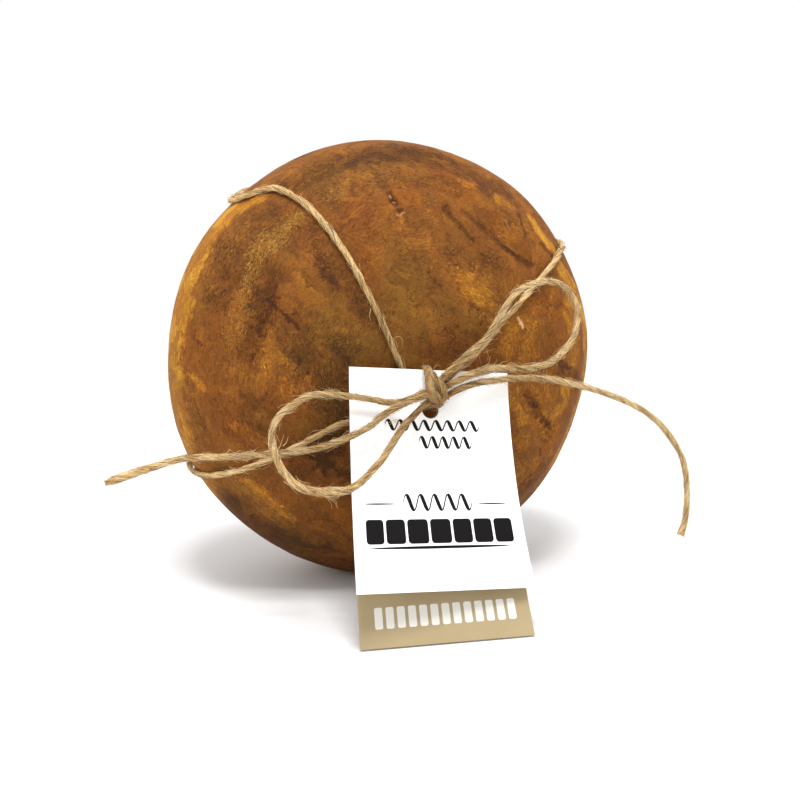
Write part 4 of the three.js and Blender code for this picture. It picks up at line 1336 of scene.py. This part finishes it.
class CHEESE_OT_stage(bpy.types.Operator):
    """Makes the camera, the floor and the light"""

    bl_idname = "cheese.stage"
    bl_label = "Camera, floor and light"

    def execute(self, context):
        stage = context.scene.stage_settings
        scene = context.scene
        scene.view_settings.view_transform = "Standard"
        centre = placed((0, 0, 0))
        back = Vector((
            math.sin(stage.azimuth) * math.cos(stage.elevation),
            -math.cos(stage.azimuth) * math.cos(stage.elevation),
            math.sin(stage.elevation),
        ))
        optics = bpy.data.cameras.new("camera")
        optics.lens = LENS
        optics.shift_x, optics.shift_y = FRAME_SHIFT
        scene.camera = linked("camera", optics)
        scene.camera.location = centre + back * stage.distance
        aim(scene.camera, -back)

        floor_shape = bmesh.new()
        bmesh.ops.create_circle(floor_shape, cap_ends=True, segments=96, radius=FLOOR_RADIUS)
        bmesh.ops.translate(floor_shape, verts=floor_shape.verts, vec=(0, 0, FLOOR_LEVEL))
        material, _, shader = new_material("white_studio_floor")
        plug(shader, {"Base Color": [*srgb("eaeaea"), 1], "Roughness": 0.6})
        made("floor", floor_shape, material)

        world = bpy.data.worlds.new("white room")
        world.use_nodes = True
        room = world.node_tree.nodes["Background"]
        plug(room, {"Color": (1, 1, 1, 1), "Strength": stage.surroundings})
        scene.world = world

        light = bpy.data.lights.new("key", "AREA")
        light.energy = stage.key
        light.size = LAMP_SIZE
        lamp = linked("key", light)
        lamp.location = LAMP_PLACE
        aim(lamp, centre - lamp.location)
        return {"FINISHED"}


class CHEESE_OT_bow(bpy.types.Operator):
    """Makes the bow's loops and tails, each a length of twine that runs out from the knot"""

    bl_idname = "cheese.bow"
    bl_label = "Bow"

    def execute(self, context):
        cords = (
            ("bow_loop_left", LOOP_LEFT, LOOP_LEFT_SWELL, "object"),
            ("bow_loop_right", LOOP_RIGHT, LOOP_RIGHT_SWELL, "object"),
            ("bow_tail_left", TAIL_LEFT, TAIL_LEFT_SWELL, "bare"),
            ("bow_tail_right", TAIL_RIGHT, TAIL_RIGHT_SWELL, "bare"),
        )
        for seed, (name, points, swell, far_end) in enumerate(cords, 1):
            piece = twine("jute_" + name, points, swell, seed=seed)
            settle(piece, "jute", name)
        return {"FINISHED"}


class CHEESE_OT_wheel(bpy.types.Operator):
    """Makes the cheese wheel with its rind"""

    bl_idname = "cheese.wheel"
    bl_label = "Cheese wheel"

    def execute(self, context):
        cheese = context.scene.cheese_settings
        base = bpy.data.meshes.new("wheel base")
        values = {"Squares": cheese.squares, "Material": rind_material()}
        wheel = grown("cheese_rind", wheel_tree(), base, values)
        mark_rind(wheel.data)
        settle(wheel, "rind", "cheese_wheel")
        return {"FINISHED"}


class CHEESE_OT_tie(bpy.types.Operator):
    """Makes the tie round the wheel, and the knot on the tag"""

    bl_idname = "cheese.tie"
    bl_label = "Tie and knot"

    def execute(self, context):
        wheel = bpy.data.objects.get("cheese_rind")
        if wheel is None:
            raise RuntimeError("The tie lies on the wheel, so the wheel comes first")
        verts = [vert.co for vert in wheel.data.vertices]
        rind = BVHTree.FromPolygons(verts, [face.vertices[:] for face in wheel.data.polygons])
        points, firm = tie_points()
        route = smooth_route(points, ROUTE_STEPS)
        firmness = numpy.interp(numpy.arange(len(route)) / ROUTE_STEPS, numpy.arange(len(points)), firm)
        lying = []
        for point, hold in zip(route, firmness):
            near, normal, _, _ = rind.find_nearest(placed(point))
            near = near / MM - Vector((0, 0, AXIS_HEIGHT))
            hold = float(smoothstep(hold, TIE_HELD_FROM, 1))
            lying.append(point.lerp(near + normal * TIE_SEAT, hold))
        tie = twine("jute_tie", lying, TIE_SWELL, steps=1, seed=TIE_SEED, fibres=TIE_FIBRES_PER_MM)
        settle(tie, "jute", "twine_tie")
        strands = [
            twine("knot_strand", points, swell, seed=seed)
            for seed, (points, swell) in enumerate(zip(KNOT_STRANDS, KNOT_SWELLS), KNOT_SEED)
        ]
        settle(joined("jute_knot", strands), "jute", "twine_knot")

        base = bpy.data.meshes.new("fibre base")
        places, edges = [], []
        for points in LOOSE_FIBRES:
            route = smooth_route(points, 4)
            edges += [(len(places) + i, len(places) + i + 1) for i in range(len(route) - 1)]
            places += [placed(point) for point in route]
        base.from_pydata(places, edges, [])
        jute = bpy.data.materials["laid_jute"]
        settle(grown("jute_fibres", fibre_tree(), base, {"Material": jute}), "jute")
        return {"FINISHED"}


class CHEESE_OT_tag(bpy.types.Operator):
    """Makes the tag's two leaves and the plain shapes printed on them"""

    bl_idname = "cheese.tag"
    bl_label = "Tag"

    def execute(self, context):
        tag = context.scene.tag_settings
        white = card_material("white_card", tag.white, srgb("fdfcfa"))
        tan = card_material("tan_card", tag.tan, srgb("a18f6c"))
        settle(card_leaf("card_front_leaf", FRONT_LEAF, white), "white_card", "tag_front_leaf")
        settle(card_leaf("card_back_leaf", BACK_LEAF, tan), "tan_card", "tag_back_leaf")
        shapes = [brushed_wave(*wave) for wave in WAVES] + [lens(*rule) for rule in RULES]
        left = BLOCKS_START
        for width in BLOCK_WIDTHS:
            shapes.append(rounded_bar(left, left + width, *BLOCK_ROW))
            left += width + BLOCK_GAP
        black = ink_material("black_ink", tag.ink, srgb("151213"))
        settle(printed("print_front", FRONT_LEAF, shapes, black), "white_card")
        bars = []
        for i in range(BARS):
            left = BARS_START + i * BAR_STEP
            bars.append(rounded_bar(left, left + BAR_WIDTH, *BAR_ROW))
        white = ink_material("white_ink", srgb("dcd9d0"), srgb("e0ddd5"))
        settle(printed("print_back", BACK_LEAF, bars, white), "tan_card")
        return {"FINISHED"}


class CHEESE_PT_panel(bpy.types.Panel):
    """Lists the steps that build the cheese"""

    bl_label = "Cheese wheel"
    bl_idname = "CHEESE_PT_panel"
    bl_space_type = "VIEW_3D"
    bl_region_type = "UI"
    bl_category = "Cheese"

    def draw(self, context):
        for operator in OPERATORS:
            self.layout.operator(operator.bl_idname)


OPERATORS = (CHEESE_OT_stage, CHEESE_OT_bow, CHEESE_OT_wheel, CHEESE_OT_tie, CHEESE_OT_tag)
SETTINGS = (CheeseSettings, TwineSettings, TagSettings, StageSettings)


def register():
    for group in (*SETTINGS, *OPERATORS, CHEESE_PT_panel):
        bpy.utils.register_class(group)
    bpy.types.Scene.cheese_settings = PointerProperty(type=CheeseSettings)
    bpy.types.Scene.twine_settings = PointerProperty(type=TwineSettings)
    bpy.types.Scene.tag_settings = PointerProperty(type=TagSettings)
    bpy.types.Scene.stage_settings = PointerProperty(type=StageSettings)


def unregister():
    del bpy.types.Scene.stage_settings
    del bpy.types.Scene.tag_settings
    del bpy.types.Scene.twine_settings
    del bpy.types.Scene.cheese_settings
    for group in (CHEESE_PT_panel, *OPERATORS[::-1], *SETTINGS[::-1]):
        bpy.utils.unregister_class(group)


def main():
    register()
    bpy.ops.cheese.stage()
    bpy.ops.cheese.bow()
    bpy.ops.cheese.wheel()
    bpy.ops.cheese.tie()
    bpy.ops.cheese.tag()


if __name__ == "__main__":
    main()
